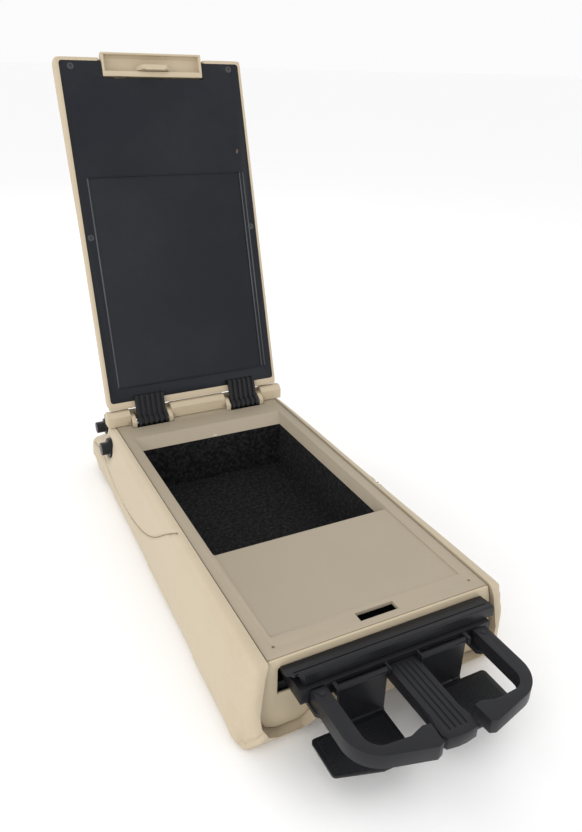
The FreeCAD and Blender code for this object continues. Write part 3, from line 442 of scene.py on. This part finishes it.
def box_cutter(low: Point, high: Point) -> bpy.types.Object:
    """Make a block between two corners, with its upright edges rounded, to cut or to fill with.

    Args:
        low: Its lowest corner.
        high: Its highest corner.

    Returns:
        The block.
    """
    deselect()
    middle = [(a + b) / 2 for a, b in zip(low, high)]
    bpy.ops.mesh.primitive_cube_add(size=1.0, location=middle)
    made = bpy.context.object
    made.scale = [b - a for a, b in zip(low, high)]
    bpy.ops.object.transform_apply(location=True, rotation=True, scale=True)
    bpy.ops.object.mode_set(mode="EDIT")
    bpy.ops.mesh.select_mode(type="EDGE")
    bpy.ops.mesh.select_all(action="DESELECT")
    bpy.ops.object.mode_set(mode="OBJECT")
    heights = [vertex.co.z for vertex in made.data.vertices]
    for edge in made.data.edges:
        start, end = edge.vertices
        edge.select = abs(heights[start] - heights[end]) > LEVEL
    bpy.ops.object.mode_set(mode="EDIT")
    bpy.ops.mesh.bevel(offset=BLOCK_CORNER, segments=BLOCK_SEGMENTS, affect="EDGES")
    bpy.ops.object.mode_set(mode="OBJECT")
    return made


def slab_cutter(outline: list[Spot], front: float, back: float,
                lean: float = 0.0) -> bpy.types.Object:
    """Make a slab of an outline seen from the front, to cut or to fill with.

    Args:
        outline: Its corners across and up, in order, from the top.
        front: Where it starts at the top, along Y.
        back: Where it ends at the top.
        lean: How far it comes forward for each metre down.

    Returns:
        The slab.
    """
    deselect()
    bpy.ops.mesh.primitive_circle_add(vertices=len(outline), fill_type="NGON")
    made = bpy.context.object
    top = outline[0][1]
    move_to(made, np.array([(x, front - lean * (top - z), z) for x, z in outline]))
    bpy.ops.object.mode_set(mode="EDIT")
    bpy.ops.mesh.select_all(action="SELECT")
    bpy.ops.mesh.extrude_region_move(TRANSFORM_OT_translate={"value": (0, back - front, 0)})
    bpy.ops.mesh.select_all(action="SELECT")
    bpy.ops.mesh.normals_make_consistent(inside=False)
    bpy.ops.object.mode_set(mode="OBJECT")
    return made


@dataclass
class Seam:
    """A line on leather, as a groove pressed into the pad; a shaded one has a dark line of painted shade
    laid in it.
    """

    name: str
    points: list[Point]
    facing: Point
    beyond: float
    shade_line: bool
    width: float = 0.004
    depth: float = 0.0017
    step: float = 0.001
    rounding: int = 12
    margin: float = 0.02
    least_facing: float = 0.3
    chunk: int = 64
    reach: float = 2.2
    groove: float = 0.4
    lip_at: float = 1.3
    lip_width: float = 0.6
    lip_share: float = 0.35
    # sizes of the line of painted shade laid in the groove
    shade_share: float = 0.13
    shade_step: int = 4
    shade_facing: float = 0.25
    shade_lift: float = 0.0001
    neighbours: int = 5

    def line(self) -> np.ndarray:
        """Points close together along the seam.

        Returns:
            Rows of x, y and z.
        """
        rows = np.array(self.points, float)
        steps = np.r_[0, np.cumsum(np.linalg.norm(np.diff(rows, axis=0), axis=1))]
        at = np.arange(0, steps[-1], self.step)
        straight = np.stack([np.interp(at, steps, rows[:, k]) for k in range(3)], 1)
        span = 2 * self.rounding + 1
        kernel = np.ones(span) / span
        start = np.repeat(straight[:1], self.rounding, 0)
        end = np.repeat(straight[-1:], self.rounding, 0)
        longer = np.r_[start, straight, end]
        return np.stack([np.convolve(longer[:, k], kernel, "valid") for k in range(3)], 1)

    def gaps(self, piece: bpy.types.Object) -> tuple[np.ndarray, np.ndarray]:
        """How far the pad's points on the seam's own side lie from it, seen square to that side.

        Args:
            piece: The pad.

        Returns:
            The points' numbers and their distances from the seam.
        """
        rows = coordinates(piece)
        facing = normals(piece) @ np.array(self.facing)
        keep = [k for k in range(3) if not self.facing[k]]
        line = self.line()[:, keep]
        low, high = line.min(0) - self.margin, line.max(0) + self.margin
        flat = rows[:, keep]
        near = np.flatnonzero(((flat > low) & (flat < high)).all(1) & (facing > self.least_facing)
                              & (rows @ np.array(self.facing) > self.beyond))
        gap = np.full(len(near), 1.0)
        for start in range(0, len(line), self.chunk):
            part = line[start:start + self.chunk]
            gap = np.minimum(gap, np.linalg.norm(flat[near, None] - part[None], axis=2).min(1))
        return near, gap

    def press(self, piece: bpy.types.Object) -> None:
        """Divide the leather finely along the seam, press the groove and raise its two lips.

        Args:
            piece: The pad.
        """
        near, gap = self.gaps(piece)
        chosen = np.zeros(len(piece.data.vertices), bool)
        chosen[near[gap < self.reach * self.width]] = True
        only(piece)
        bpy.ops.object.mode_set(mode="EDIT")
        bpy.ops.mesh.select_mode(type="VERT")
        bpy.ops.mesh.select_all(action="DESELECT")
        bpy.ops.object.mode_set(mode="OBJECT")
        piece.data.vertices.foreach_set("select", chosen)
        bpy.ops.object.mode_set(mode="EDIT")
        bpy.ops.mesh.subdivide(number_cuts=2)
        bpy.ops.object.mode_set(mode="OBJECT")
        near, gap = self.gaps(piece)
        rows = coordinates(piece)
        out = normals(piece)
        gap /= self.width
        groove = -self.depth * np.exp(-(gap / self.groove) ** 2)
        lip = self.lip_share * self.depth * np.exp(-((gap - self.lip_at) / self.lip_width) ** 2)
        rows[near] += out[near] * (groove + lip)[:, None]
        move_to(piece, rows)

    def lay_shade(self, piece: bpy.types.Object, body: str) -> bpy.types.Object:
        """Lay a dark line of painted shade in the groove.

        Args:
            piece: The pad.
            body: The CAD body that it moves with.

        Returns:
            The finished line.
        """
        rows = coordinates(piece)
        side = np.array(self.facing, float)
        keep = [k for k in range(3) if not self.facing[k]]
        out = rows @ side
        near = np.flatnonzero((normals(piece) @ side > self.shade_facing) & (out > self.beyond))
        line = self.line()[::self.shade_step]
        height = []
        for spot in line:
            gap = np.linalg.norm(rows[near][:, keep] - spot[keep], axis=1)
            height.append(np.median(out[near[np.argsort(gap)[:self.neighbours]]]))
        spots = line * (1 - np.abs(side)) + np.outer(np.array(height) + self.shade_lift, side)
        data = bpy.data.curves.new(self.name, "CURVE")
        data.dimensions = "3D"
        data.bevel_depth = self.width * self.shade_share
        data.bevel_resolution = 2
        spline = data.splines.new("POLY")
        spline.points.add(len(spots) - 1)
        for point, spot in zip(spline.points, spots):
            point.co = (*spot, 1.0)
        made = bpy.data.objects.new(self.name, data)
        bpy.context.scene.collection.objects.link(made)
        only(made)
        bpy.ops.object.convert(target="MESH")
        made = bpy.context.object
        made.name = "seam_" + self.name
        smooth(made, ROUND_SHADING)
        return dress(made, SEAM_SHADE, body, "leather_beige")


@dataclass
class Pad:
    """A leather covered foam pad, swelled by a cloth simulation from the CAD solids."""

    name: str
    nodes: tuple[str, ...]
    replaced: tuple[str, ...]
    body: str
    finish: Finish
    voxel: float = 0.005
    cap: float = 0.0025
    fill: float = 0.8
    smoothing: int = 4
    pressure: float = 4.0
    cloth_mass: float = 0.3
    cloth_quality: int = 4
    last_frame: int = 20
    crease: float = 50.0
    seams: list[Seam] = field(default_factory=list)
    axes: Matrix = field(default_factory=Matrix)

    def held(self, rows: np.ndarray) -> np.ndarray:
        """Which vertices stay where they are; a pad with no rule holds none."""
        return np.zeros(len(rows), bool)

    def build(self) -> bpy.types.Object:
        """Make the pad.

        Returns:
            The finished pad.
        """
        piece = copy_nodes(self.name, *self.nodes)
        piece = join([piece] + self.plugs())
        piece.data.transform(self.axes.inverted())
        apply_modifier(piece, "REMESH", mode="VOXEL", voxel_size=self.voxel, use_smooth_shade=True)
        apply_modifier(piece, "SMOOTH", factor=0.5, iterations=self.smoothing)
        piece.data.transform(self.axes)
        piece.data.update()
        self.swell(piece)
        self.settle(piece)
        for cutter in self.cutters():
            apply_modifier(piece, "BOOLEAN", operation="DIFFERENCE", object=cutter, solver="EXACT")
            bpy.data.objects.remove(cutter)
        for seam in self.seams:
            seam.press(piece)
        # the dark line laid in a flank seam is painted shade
        for seam in self.seams:
            if seam.shade_line:
                seam.lay_shade(piece, self.body)
        smooth(piece, self.crease)
        return dress(piece, self.finish, self.body, "leather_beige", *self.replaced)

    def swell(self, piece: bpy.types.Object) -> None:
        """Blow the pad up by cloth pressure and cap how far each point may move.

        Args:
            piece: The pad.
        """
        before = coordinates(piece)
        pins = piece.vertex_groups.new(name="held")
        pins.add([int(i) for i in np.flatnonzero(self.held(before))], 1.0, "REPLACE")
        only(piece)
        cloth = piece.modifiers.new("cloth", "CLOTH")
        cloth.settings.use_pressure = True
        cloth.settings.uniform_pressure_force = self.pressure
        cloth.settings.effector_weights.gravity = 0.0
        cloth.settings.vertex_group_mass = "held"
        cloth.settings.mass = self.cloth_mass
        cloth.settings.quality = self.cloth_quality
        cloth.collision_settings.use_collision = False
        for number in range(1, self.last_frame + 1):
            bpy.context.scene.frame_set(number)
        bpy.ops.object.modifier_apply(modifier=cloth.name)
        shift = coordinates(piece) - before
        length = np.maximum(np.linalg.norm(shift, axis=1, keepdims=True), 1e-9)
        move_to(piece, before + shift * np.minimum(1.0, self.cap / length))
        piece.vertex_groups.clear()
        bpy.context.scene.frame_set(1)

    def settle(self, piece: bpy.types.Object) -> None:
        """Leave the pad as it is; a pad that lies on something flattens here."""

    def plugs(self) -> list[bpy.types.Object]:
        """Blocks that close the openings while the pad swells; a plain pad has none."""
        return []

    def cutters(self) -> list[bpy.types.Object]:
        """The shapes whose edges the leather is trimmed to; a plain pad has none."""
        return []


@dataclass
class BodyPad(Pad):
    """The body's cover, open at the top for the tray and at the front for the bezel."""

    tray_half: float = 0.1185
    tray_back: float = 0.275
    lip_half: float = 0.129
    lip_low: float = 0.011
    lip_back: float = -0.196
    rim_height: float = 0.086
    foot_height: float = 0.004
    well: tuple[Point, Point] = ((-0.1166, -0.2045, 0.0495), (0.1166, 0.2688, 0.13))
    pocket: tuple[Point, Point] = ((-0.1157, -0.1975, 0.0137), (0.1157, 0.2675, 0.0812))
    fillings: tuple[tuple[Point, Point], ...] = (
        ((-0.119, -0.204, 0.05), (0.119, 0.254, 0.0929)), ((-0.119, 0.2, 0.05), (0.119, 0.2705, 0.0906)),
        ((-0.117, -0.2, 0.012), (0.117, 0.2695, 0.083)))
    lean: float = 0.1039
    mouth_grown: float = 1.015
    mouth_plug: Spot = (-0.2055, -0.19)
    mouth_cut: Spot = (-0.26, -0.1995)
    bezel: tuple[Spot, ...] = (
        (0.1160, 0.0928), (0.1162, 0.091), (0.1195, 0.080), (0.1230, 0.060), (0.1255, 0.0437),
        (0.1245, 0.0290), (0.1185, 0.0178), (0.1085, 0.0130), (0.0835, 0.0130), (0.0752, 0.0188),
        (0.0655, 0.0305), (0.0437, 0.0380))

    def held(self, rows: np.ndarray) -> np.ndarray:
        """Hold the foot, the rim and all that touches the tray, the bezel and the carrier.

        Args:
            rows: The vertices.

        Returns:
            True for each vertex that is held.
        """
        x, y, z = np.abs(rows[:, 0]), rows[:, 1], rows[:, 2]
        inside = (x < self.lip_half) & (y < self.tray_back) & (z > self.lip_low)
        inside &= (x < self.tray_half) | (y < self.lip_back)
        return inside | (z < self.foot_height) | (z > self.rim_height)

    def settle(self, piece: bpy.types.Object) -> None:
        """Flatten the foot on the floor.

        Args:
            piece: The pad.
        """
        rows = coordinates(piece)
        rows[:, 2] = np.maximum(rows[:, 2], 0.0)
        move_to(piece, rows)

    def mouth(self, grown: float) -> list[Spot]:
        """The outline of the bezel's opening, both halves.

        Args:
            grown: How many times wider it is drawn.

        Returns:
            Its corners across and up.
        """
        half = [(x * grown, z) for x, z in self.bezel]
        return half + [(-x, z) for x, z in reversed(half)]

    def plugs(self) -> list[bpy.types.Object]:
        """Close the tray's well, the carrier's pocket and the bezel's opening.

        Returns:
            The blocks.
        """
        front = slab_cutter(self.mouth(self.mouth_grown), *self.mouth_plug, self.lean)
        return [front] + [box_cutter(*corners) for corners in self.fillings]

    def cutters(self) -> list[bpy.types.Object]:
        """Trim the leather to the tray's well and to the outline of the bezel.

        Returns:
            The cutters.
        """
        window = slab_cutter(self.mouth(1.0), *self.mouth_cut)
        return [box_cutter(*self.well), box_cutter(*self.pocket), window]


@dataclass
class LidPad(Pad):
    """The lid's cover over its foam, held where it wraps round to the panel."""

    window: tuple[Point, Point] = ((-0.1171, 0.0054, -0.0095), (0.1171, 0.4284, 0.02))
    latch_room: tuple[Point, Point] = ((-0.0658, 0.4086, -0.018), (0.0658, 0.46, 0.02))
    lower_edge: float = 0.0036
    edge_fade: float = 0.02
    face_low: float = -0.004
    latch_half: float = 0.068
    latch_low: float = 0.402

    def settle(self, piece: bpy.types.Object) -> None:
        """Draw the lower edge down towards the hinge bar.

        Args:
            piece: The pad.
        """
        turn = np.array(LID_AXES.to_3x3())
        local = (coordinates(piece) - np.array(LID_FOOT)) @ turn
        local[:, 1] -= self.lower_edge * np.clip(1 - local[:, 1] / self.edge_fade, 0, 1)
        move_to(piece, local @ turn.T + np.array(LID_FOOT))

    def cutters(self) -> list[bpy.types.Object]:
        """Trim the leather to the panel and to the room of the latch.

        Returns:
            The cutters.
        """
        made = [box_cutter(*self.window), box_cutter(*self.latch_room)]
        for cutter in made:
            drop_onto_lid(cutter)
        return made

    def held(self, rows: np.ndarray) -> np.ndarray:
        """Hold the edge that the panel covers and the room of the latch.

        Args:
            rows: The vertices.

        Returns:
            True for each vertex that is held.
        """
        local = (rows - np.array(LID_FOOT)) @ np.array(LID_AXES.to_3x3())
        latch = (np.abs(local[:, 0]) < self.latch_half) & (local[:, 1] > self.latch_low)
        return (local[:, 2] > self.face_low) | latch


@dataclass
class Moulding:
    """A rigid CAD piece with its edges broken, in its finish."""

    node: str
    finish: Finish
    edge: float
    segments: int = 2
    angle: float = 28.0
    flats: bool = True

    def build(self) -> bpy.types.Object:
        """Copy the node, round its edges and dress it.

        Returns:
            The finished piece.
        """
        piece = copy_nodes(self.node + "_piece", self.node, flats=self.flats)
        apply_modifier(piece, "BEVEL", width=self.edge, segments=self.segments, limit_method="ANGLE",
                       angle_limit=math.radians(self.angle), use_clamp_overlap=True,
                       miter_outer="MITER_ARC")
        smooth(piece)
        return dress(piece, self.finish, BODY_OF[self.node], SLOT_OF[self.node], self.node)


@dataclass
class ScrewSet:
    """Lid screws with domed heads and a cross recess."""

    node: str = "lid_screws"
    halves: tuple[Spot, ...] = ((0.1033, 0.422), (0.110, 0.218))
    slot_long: float = 0.0046
    slot_wide: float = 0.0010
    slot_deep: float = 0.0012
    slot_turn: float = 20.0
    crown_edge: float = 0.0006
    crown_angle: float = 40.0
    voxel: float = 0.0002

    def build(self) -> bpy.types.Object:
        """Round the heads and cut the recesses.

        Returns:
            The finished screws.
        """
        piece = copy_nodes("lid_screw_heads", self.node)
        apply_modifier(piece, "BEVEL", width=self.crown_edge, segments=3, limit_method="ANGLE",
                       angle_limit=math.radians(self.crown_angle), use_clamp_overlap=True)
        local = (coordinates(piece) - np.array(LID_FOOT)) @ np.array(LID_AXES.to_3x3())
        crown = float(local[:, 2].max())
        cutter = self.cutter(crown)
        apply_modifier(piece, "BOOLEAN", operation="DIFFERENCE", object=cutter, solver="EXACT")
        bpy.data.objects.remove(cutter)
        smooth(piece)
        return dress(piece, SCREW, BODY_OF[self.node], SLOT_OF[self.node], self.node)

    def cutter(self, crown: float) -> bpy.types.Object:
        """Two crossed bars for each head, joined in one cutter.

        Args:
            crown: Height of the heads' tops above the lid's inner face.

        Returns:
            The cutter.
        """
        deselect()
        bars = []
        spots = [(sign * across, along) for across, along in self.halves for sign in (1, -1)]
        turns = [math.radians(self.slot_turn + quarter) for quarter in (0.0, 90.0)]
        for across, along in spots:
            for turn in turns:
                bpy.ops.mesh.primitive_cube_add(size=1.0, location=(across, along, crown),
                                                rotation=(0, 0, turn))
                bar = bpy.context.object
                bar.scale = (self.slot_long, self.slot_wide, 2 * self.slot_deep)
                bars.append(bar)
        cutter = join(bars)
        bpy.ops.object.transform_apply(location=True, rotation=True, scale=True)
        apply_modifier(cutter, "REMESH", mode="VOXEL", voxel_size=self.voxel)
        drop_onto_lid(cutter)
        return cutter


@dataclass
class PanelBead:
    """The raised bead round the recessed field of the lid's inner panel, with bars of painted highlight
    along its long sides.
    """

    half: float = 0.1035
    low: float = 0.024
    high: float = 0.291
    height: float = -0.0012
    thick: float = 0.0011
    corner: float = 0.003
    ridge_inset: float = 0.0015
    ridge_outset: float = 0.0035
    ridge_lift: float = 0.0004
    ridge_half: Spot = (0.0010, 0.0009)
    ridge_end: float = 0.001
    ridge_round: float = 0.0005

    def build(self) -> bpy.types.Object:
        """Bend a round bead into the frame.

        Returns:
            The finished bead.
        """
        deselect()
        bpy.ops.mesh.primitive_plane_add(size=1.0, location=(0, (self.low + self.high) / 2, self.height))
        piece = bpy.context.object
        piece.scale = (2 * self.half, self.high - self.low, 1.0)
        bpy.ops.object.transform_apply(location=True, rotation=True, scale=True)
        bpy.ops.object.mode_set(mode="EDIT")
        bpy.ops.mesh.select_all(action="SELECT")
        bpy.ops.mesh.bevel(offset=self.corner, segments=4, affect="VERTICES")
        bpy.ops.mesh.delete(type="ONLY_FACE")
        bpy.ops.object.mode_set(mode="OBJECT")
        bpy.ops.object.convert(target="CURVE")
        piece = bpy.context.object
        piece.data.bevel_depth = self.thick
        piece.data.bevel_resolution = 3
        bpy.ops.object.convert(target="MESH")
        piece = bpy.context.object
        piece.name = "panel_bead"
        drop_onto_lid(piece)
        smooth(piece, ROUND_SHADING)
        self.ridges()
        return dress(piece, PANEL, "lid", "plastic_black")

    def ridges(self) -> bpy.types.Object:
        """Lay bright bars of painted highlight along the long sides of the frame, one on the left and two
        on the right.

        Returns:
            The finished ridges.
        """
        bars = []
        deselect()
        middle = (self.low + self.high) / 2
        half_length = (self.high - self.low) / 2 - self.ridge_end
        for across in (-self.half, self.half - self.ridge_inset, self.half + self.ridge_outset):
            bpy.ops.mesh.primitive_cylinder_add(vertices=12, radius=1.0,
                                                location=(across, middle, self.height + self.ridge_lift),
                                                rotation=(math.radians(90), 0, 0))
            bar = bpy.context.object
            bar.scale = (*self.ridge_half, half_length)
            bpy.ops.object.transform_apply(location=True, rotation=True, scale=True)
            apply_modifier(bar, "BEVEL", width=self.ridge_round, segments=2, limit_method="ANGLE",
                           angle_limit=math.radians(ROUND_SHADING))
            bars.append(bar)
        piece = join(bars)
        piece.name = "panel_highlight_ridges"
        drop_onto_lid(piece)
        smooth(piece, ROUND_SHADING)
        return dress(piece, PAINTED_HIGHLIGHT, "lid", "plastic_black")


@dataclass
class FootRibs:
    """The fine ribs on the tread of a cup support."""

    side: str
    pitch: float = 0.0019
    high: float = 0.0007
    margin: float = 0.004
    plate: float = 0.0268
    width_share: float = 0.55
    edge_share: float = 0.2
    ends: float = 0.012
    trim_scale: Point = (0.95, 0.93, 4.0)

    def build(self) -> bpy.types.Object:
        """Lay the ribs over the foot and trim them to its outline.

        Returns:
            The finished ribs.
        """
        node = "support_foot_" + self.side
        low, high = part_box(node)
        deselect()
        first = ((low.x + high.x) / 2, low.y + self.margin, self.plate)
        bpy.ops.mesh.primitive_cube_add(size=1.0, location=first)
        piece = bpy.context.object
        piece.scale = (high.x - low.x - 2 * self.margin, self.pitch * self.width_share, 2 * self.high)
        bpy.ops.object.transform_apply(location=True, rotation=True, scale=True)
        apply_modifier(piece, "BEVEL", width=self.pitch * self.edge_share, segments=1)
        count = int((high.y - low.y - self.ends) / self.pitch)
        apply_modifier(piece, "ARRAY", count=count, use_relative_offset=False, use_constant_offset=True,
                       constant_offset_displace=(0, self.pitch, 0))
        trim = copy_nodes("trim", node)
        middle = (low + high) / 2
        trim.data.transform(Matrix.Translation(middle) @ Matrix.Diagonal((*self.trim_scale, 1.0))
                            @ Matrix.Translation(-middle))
        apply_modifier(piece, "BOOLEAN", operation="INTERSECT", object=trim, solver="EXACT")
        bpy.data.objects.remove(trim)
        piece.name = "foot_ribs_" + self.side
        smooth(piece)
        return dress(piece, BLACK, BODY_OF[node], SLOT_OF[node])


@dataclass
class BodyLeather:
    """The cover of the armrest's body with the seams of its flanks and front corners."""

    flank: tuple[Point, ...] = ((0.1240, -0.004, 0.094), (0.1266, 0.0205, 0.079), (0.1294, 0.0417, 0.062),
                                (0.1311, 0.063, 0.050), (0.1321, 0.087, 0.0418), (0.1325, 0.119, 0.0352),
                                (0.1321, 0.163, 0.0317), (0.1309, 0.214, 0.034), (0.1289, 0.250, 0.0403),
                                (0.1281, 0.274, 0.0422), (0.1278, 0.307, 0.0397), (0.1279, 0.345, 0.033))
    corner: tuple[Point, ...] = ((0.1235, -0.2135, 0.024), (0.133, -0.2135, 0.014),
                                 (0.1445, -0.2125, 0.002))
    flank_beyond: float = 0.12
    corner_beyond: float = 0.2
    voxel: float = 0.0036

    def build(self) -> bpy.types.Object:
        """Swell the cover and press its seams, with a line of painted shade laid in the flank seams.

        Returns:
            The finished cover.
        """
        seams = []
        for sign, side in ((1, "right"), (-1, "left")):
            for name, points in (("flank", self.flank), ("corner", self.corner)):
                facing = (sign, 0, 0) if name == "flank" else (0, -1, 0)
                beyond = self.flank_beyond if name == "flank" else self.corner_beyond
                course = [(sign * x, y, z) for x, y, z in points]
                # the flank seams get a line of painted shade, the corner seams only the groove
                seams.append(Seam(f"{name}_{side}", course, facing, beyond, name == "flank"))
        nodes = ("leather_cover", "foam_body")
        return BodyPad("body_cover", nodes, nodes, "base", LEATHER, voxel=self.voxel, seams=seams).build()


@dataclass
class LidLeather:
    """The cover of the lid."""

    padding: tuple[str, ...] = ("lid_leather", "lid_foam")
    backing: tuple[str, ...] = ("lid_board", "lid_panel")
    voxel: float = 0.004
    cap: float = 0.002

    def build(self) -> bpy.types.Object:
        """Swell the lid's cover.

        Returns:
            The finished cover.
        """
        return LidPad("lid_cover", self.padding + self.backing, self.padding, "lid", LID_LEATHER,
                      voxel=self.voxel, cap=self.cap, axes=LID_AXES).build()


@dataclass
class Mouldings:
    """All rigid pieces whose CAD form is kept, with broken edges."""

    beige: tuple[str, ...] = ("tray_frame",)
    trim: tuple[str, ...] = ("front_bezel", "hinge_bar", "latch_paddle")
    arms: tuple[str, ...] = ("cup_arm_right", "cup_arm_left")
    black: tuple[str, ...] = ("drawer_carriage", "fascia_flap",
                              "support_hanger_right", "support_hanger_left", "support_foot_right",
                              "support_foot_left", "pivot_stud_right", "pivot_stud_left", "stop_peg_right",
                              "stop_peg_left", "hinge_arm_right", "hinge_arm_left")

    beige_edge: float = 0.0009
    trim_edge: float = 0.0011
    black_edge: float = 0.0006
    arm_edge: float = 0.0034
    arm_angle: float = 40.0
    spine_edge: float = 0.0004
    panel_edge: float = 0.0006
    bin_edge: float = 0.002

    def build(self) -> None:
        """Make each moulding in its finish."""
        for node in self.beige:
            Moulding(node, BEIGE, self.beige_edge).build()
        for node in self.trim:
            Moulding(node, BEIGE_TRIM, self.trim_edge, segments=3).build()
        for node in self.black:
            Moulding(node, BLACK, self.black_edge, segments=3).build()
        for node in self.arms:
            Moulding(node, BLACK, self.arm_edge, segments=4, angle=self.arm_angle).build()
        Moulding("centre_spine", BLACK, self.spine_edge, flats=False).build()
        Moulding("lid_panel", PANEL, self.panel_edge).build()
        Moulding("bin_liner", FELT, self.bin_edge, segments=3).build()


@dataclass
class Marks:
    """Wear: a rubbed spot on the lid's panel and a frayed one at the bin's edge."""

    scuff: Point = (0.1023, 0.3636, 0.4173)
    scuff_size: Point = (0.0016, 0.0006, 0.0038)
    fray: Point = (0.0022, 0.2069, 0.0803)
    fray_size: Point = (0.0026, 0.0010, 0.0009)
    rough: float = 0.0003

    def build(self) -> None:
        """Set both marks."""
        self.spot("panel_scuff", self.scuff, self.scuff_size, RUBBED, "lid", "plastic_black")
        self.spot("edge_fray", self.fray, self.fray_size, FRAYED, "base", "plastic_beige")

    def spot(self, name: str, place: Point, size: Point, finish: Finish, body: str,
             slot: str) -> bpy.types.Object:
        """Set one flat rounded spot, half sunk into the surface.

        Args:
            name: Its name.
            place: Its middle, on the surface.
            size: Its half sizes.
            finish: Its finish.
            body: The CAD body that it moves with.
            slot: The record's material slot.

        Returns:
            The finished spot.
        """
        deselect()
        bpy.ops.mesh.primitive_ico_sphere_add(subdivisions=3, radius=1.0, location=place)
        made = bpy.context.object
        made.name = name
        made.scale = size
        bpy.ops.object.transform_apply(location=True, rotation=True, scale=True)
        bpy.ops.object.mode_set(mode="EDIT")
        bpy.ops.mesh.select_all(action="SELECT")
        bpy.ops.transform.vertex_random(offset=self.rough, uniform=0.6, normal=0.4, seed=4)
        bpy.ops.object.mode_set(mode="OBJECT")
        smooth(made, ROUND_SHADING)
        return dress(made, finish, body, slot)


@dataclass
class InnerPieces:
    """CAD nodes that stay as they are, in their finishes."""

    blackened: tuple[str, ...] = ("arm_pin_right", "arm_pin_left", "hanger_pin_right", "hanger_pin_left")

    def build(self) -> None:
        """Put the finish of its slot on every node that still shows."""
        for name, node in frame["nodes"].items():
            if node.hide_render:
                continue
            node.data.materials.clear()
            finish = COATED if name in self.blackened else BY_SLOT[SLOT_OF[name]]
            node.data.materials.append(finish.material())
            LOG.info("%s: kept", name)


@dataclass
class Studio:
    """The pale floor, the soft lights and the camera of the photograph."""

    eye: Point = (-0.3151, -0.6061, 0.5328)
    right: Point = (0.8901, -0.4551, 0.0289)
    up: Point = (0.1755, 0.4004, 0.8994)
    back: Point = (-0.4209, -0.7954, 0.4362)
    lens: float = 31.85
    floor_half: float = 40.0
    floor_drop: float = 0.0006
    floor_paint: float = 0.98
    sky: float = 0.97
    aim: Point = (0.0, 0.05, 0.15)
    lights: tuple[tuple[str, Point, float, float], ...] = (
        ("key", (-1.9, -1.1, 0.9), 1.2, 15.0),
        ("fill", (1.6, -1.2, 0.8), 1.4, 5.0),
        ("back", (-0.4, 1.6, 1.6), 1.2, 6.0))

    def build(self) -> None:
        """Set the floor, the lights, the sky and the camera."""
        self.floor()
        for name, spot, size, power in self.lights:
            self.light(name, spot, size, power)
        sky = bpy.data.worlds.new("sky")
        sky.use_nodes = True
        glow = sky.node_tree.nodes["Background"]
        glow.inputs["Color"].default_value = (1.0, 1.0, 1.0, 1.0)
        glow.inputs["Strength"].default_value = self.sky
        bpy.context.scene.world = sky
        bpy.context.scene.view_settings.view_transform = "Standard"
        self.camera()

    def floor(self) -> None:
        """Lay the floor just under the armrest."""
        deselect()
        bpy.ops.mesh.primitive_plane_add(size=2 * self.floor_half, location=(0, 0, -self.floor_drop))
        floor = bpy.context.object
        floor.name = "floor"
        bpy.ops.object.transform_apply(location=True)
        paint = bpy.data.materials.new("floor_paint")
        paint.use_nodes = True
        shader = paint.node_tree.nodes["Principled BSDF"]
        shader.inputs["Base Color"].default_value = (*[self.floor_paint] * 3, 1.0)
        shader.inputs["Roughness"].default_value = 0.9
        floor.data.materials.append(paint)

    def light(self, name: str, spot: Point, size: float, power: float) -> None:
        """Hang a square soft light that looks at the armrest.

        Args:
            name: The light's name.
            spot: Its place.
            size: Its side.
            power: Its power in watts.
        """
        data = bpy.data.lights.new(name, "AREA")
        data.size = size
        data.energy = power
        lamp = bpy.data.objects.new(name, data)
        lamp.location = spot
        lamp.rotation_mode = "QUATERNION"
        lamp.rotation_quaternion = (Vector(self.aim) - Vector(spot)).to_track_quat("-Z", "Y")
        bpy.context.scene.collection.objects.link(lamp)

    def camera(self) -> None:
        """Stand the camera where the photograph was taken."""
        data = bpy.data.cameras.new("camera")
        data.lens = self.lens
        data.sensor_width = 36.0
        data.clip_start = 0.01
        eye = bpy.data.objects.new("camera", data)
        turn = Matrix((self.right, self.up, self.back)).transposed()
        eye.matrix_world = Matrix.Translation(self.eye) @ turn.to_4x4()
        bpy.context.scene.collection.objects.link(eye)
        bpy.context.scene.camera = eye


def main() -> None:
    """Build every sub-assembly in order."""
    logging.basicConfig(level=logging.INFO, format="%(message)s")
    BodyLeather().build()
    LidLeather().build()
    for side in ("right", "left"):
        FootRibs(side).build()
    Mouldings().build()
    ScrewSet().build()
    PanelBead().build()
    Marks().build()
    InnerPieces().build()
    Studio().build()
    deselect()


if __name__ == "__main__":
    main()
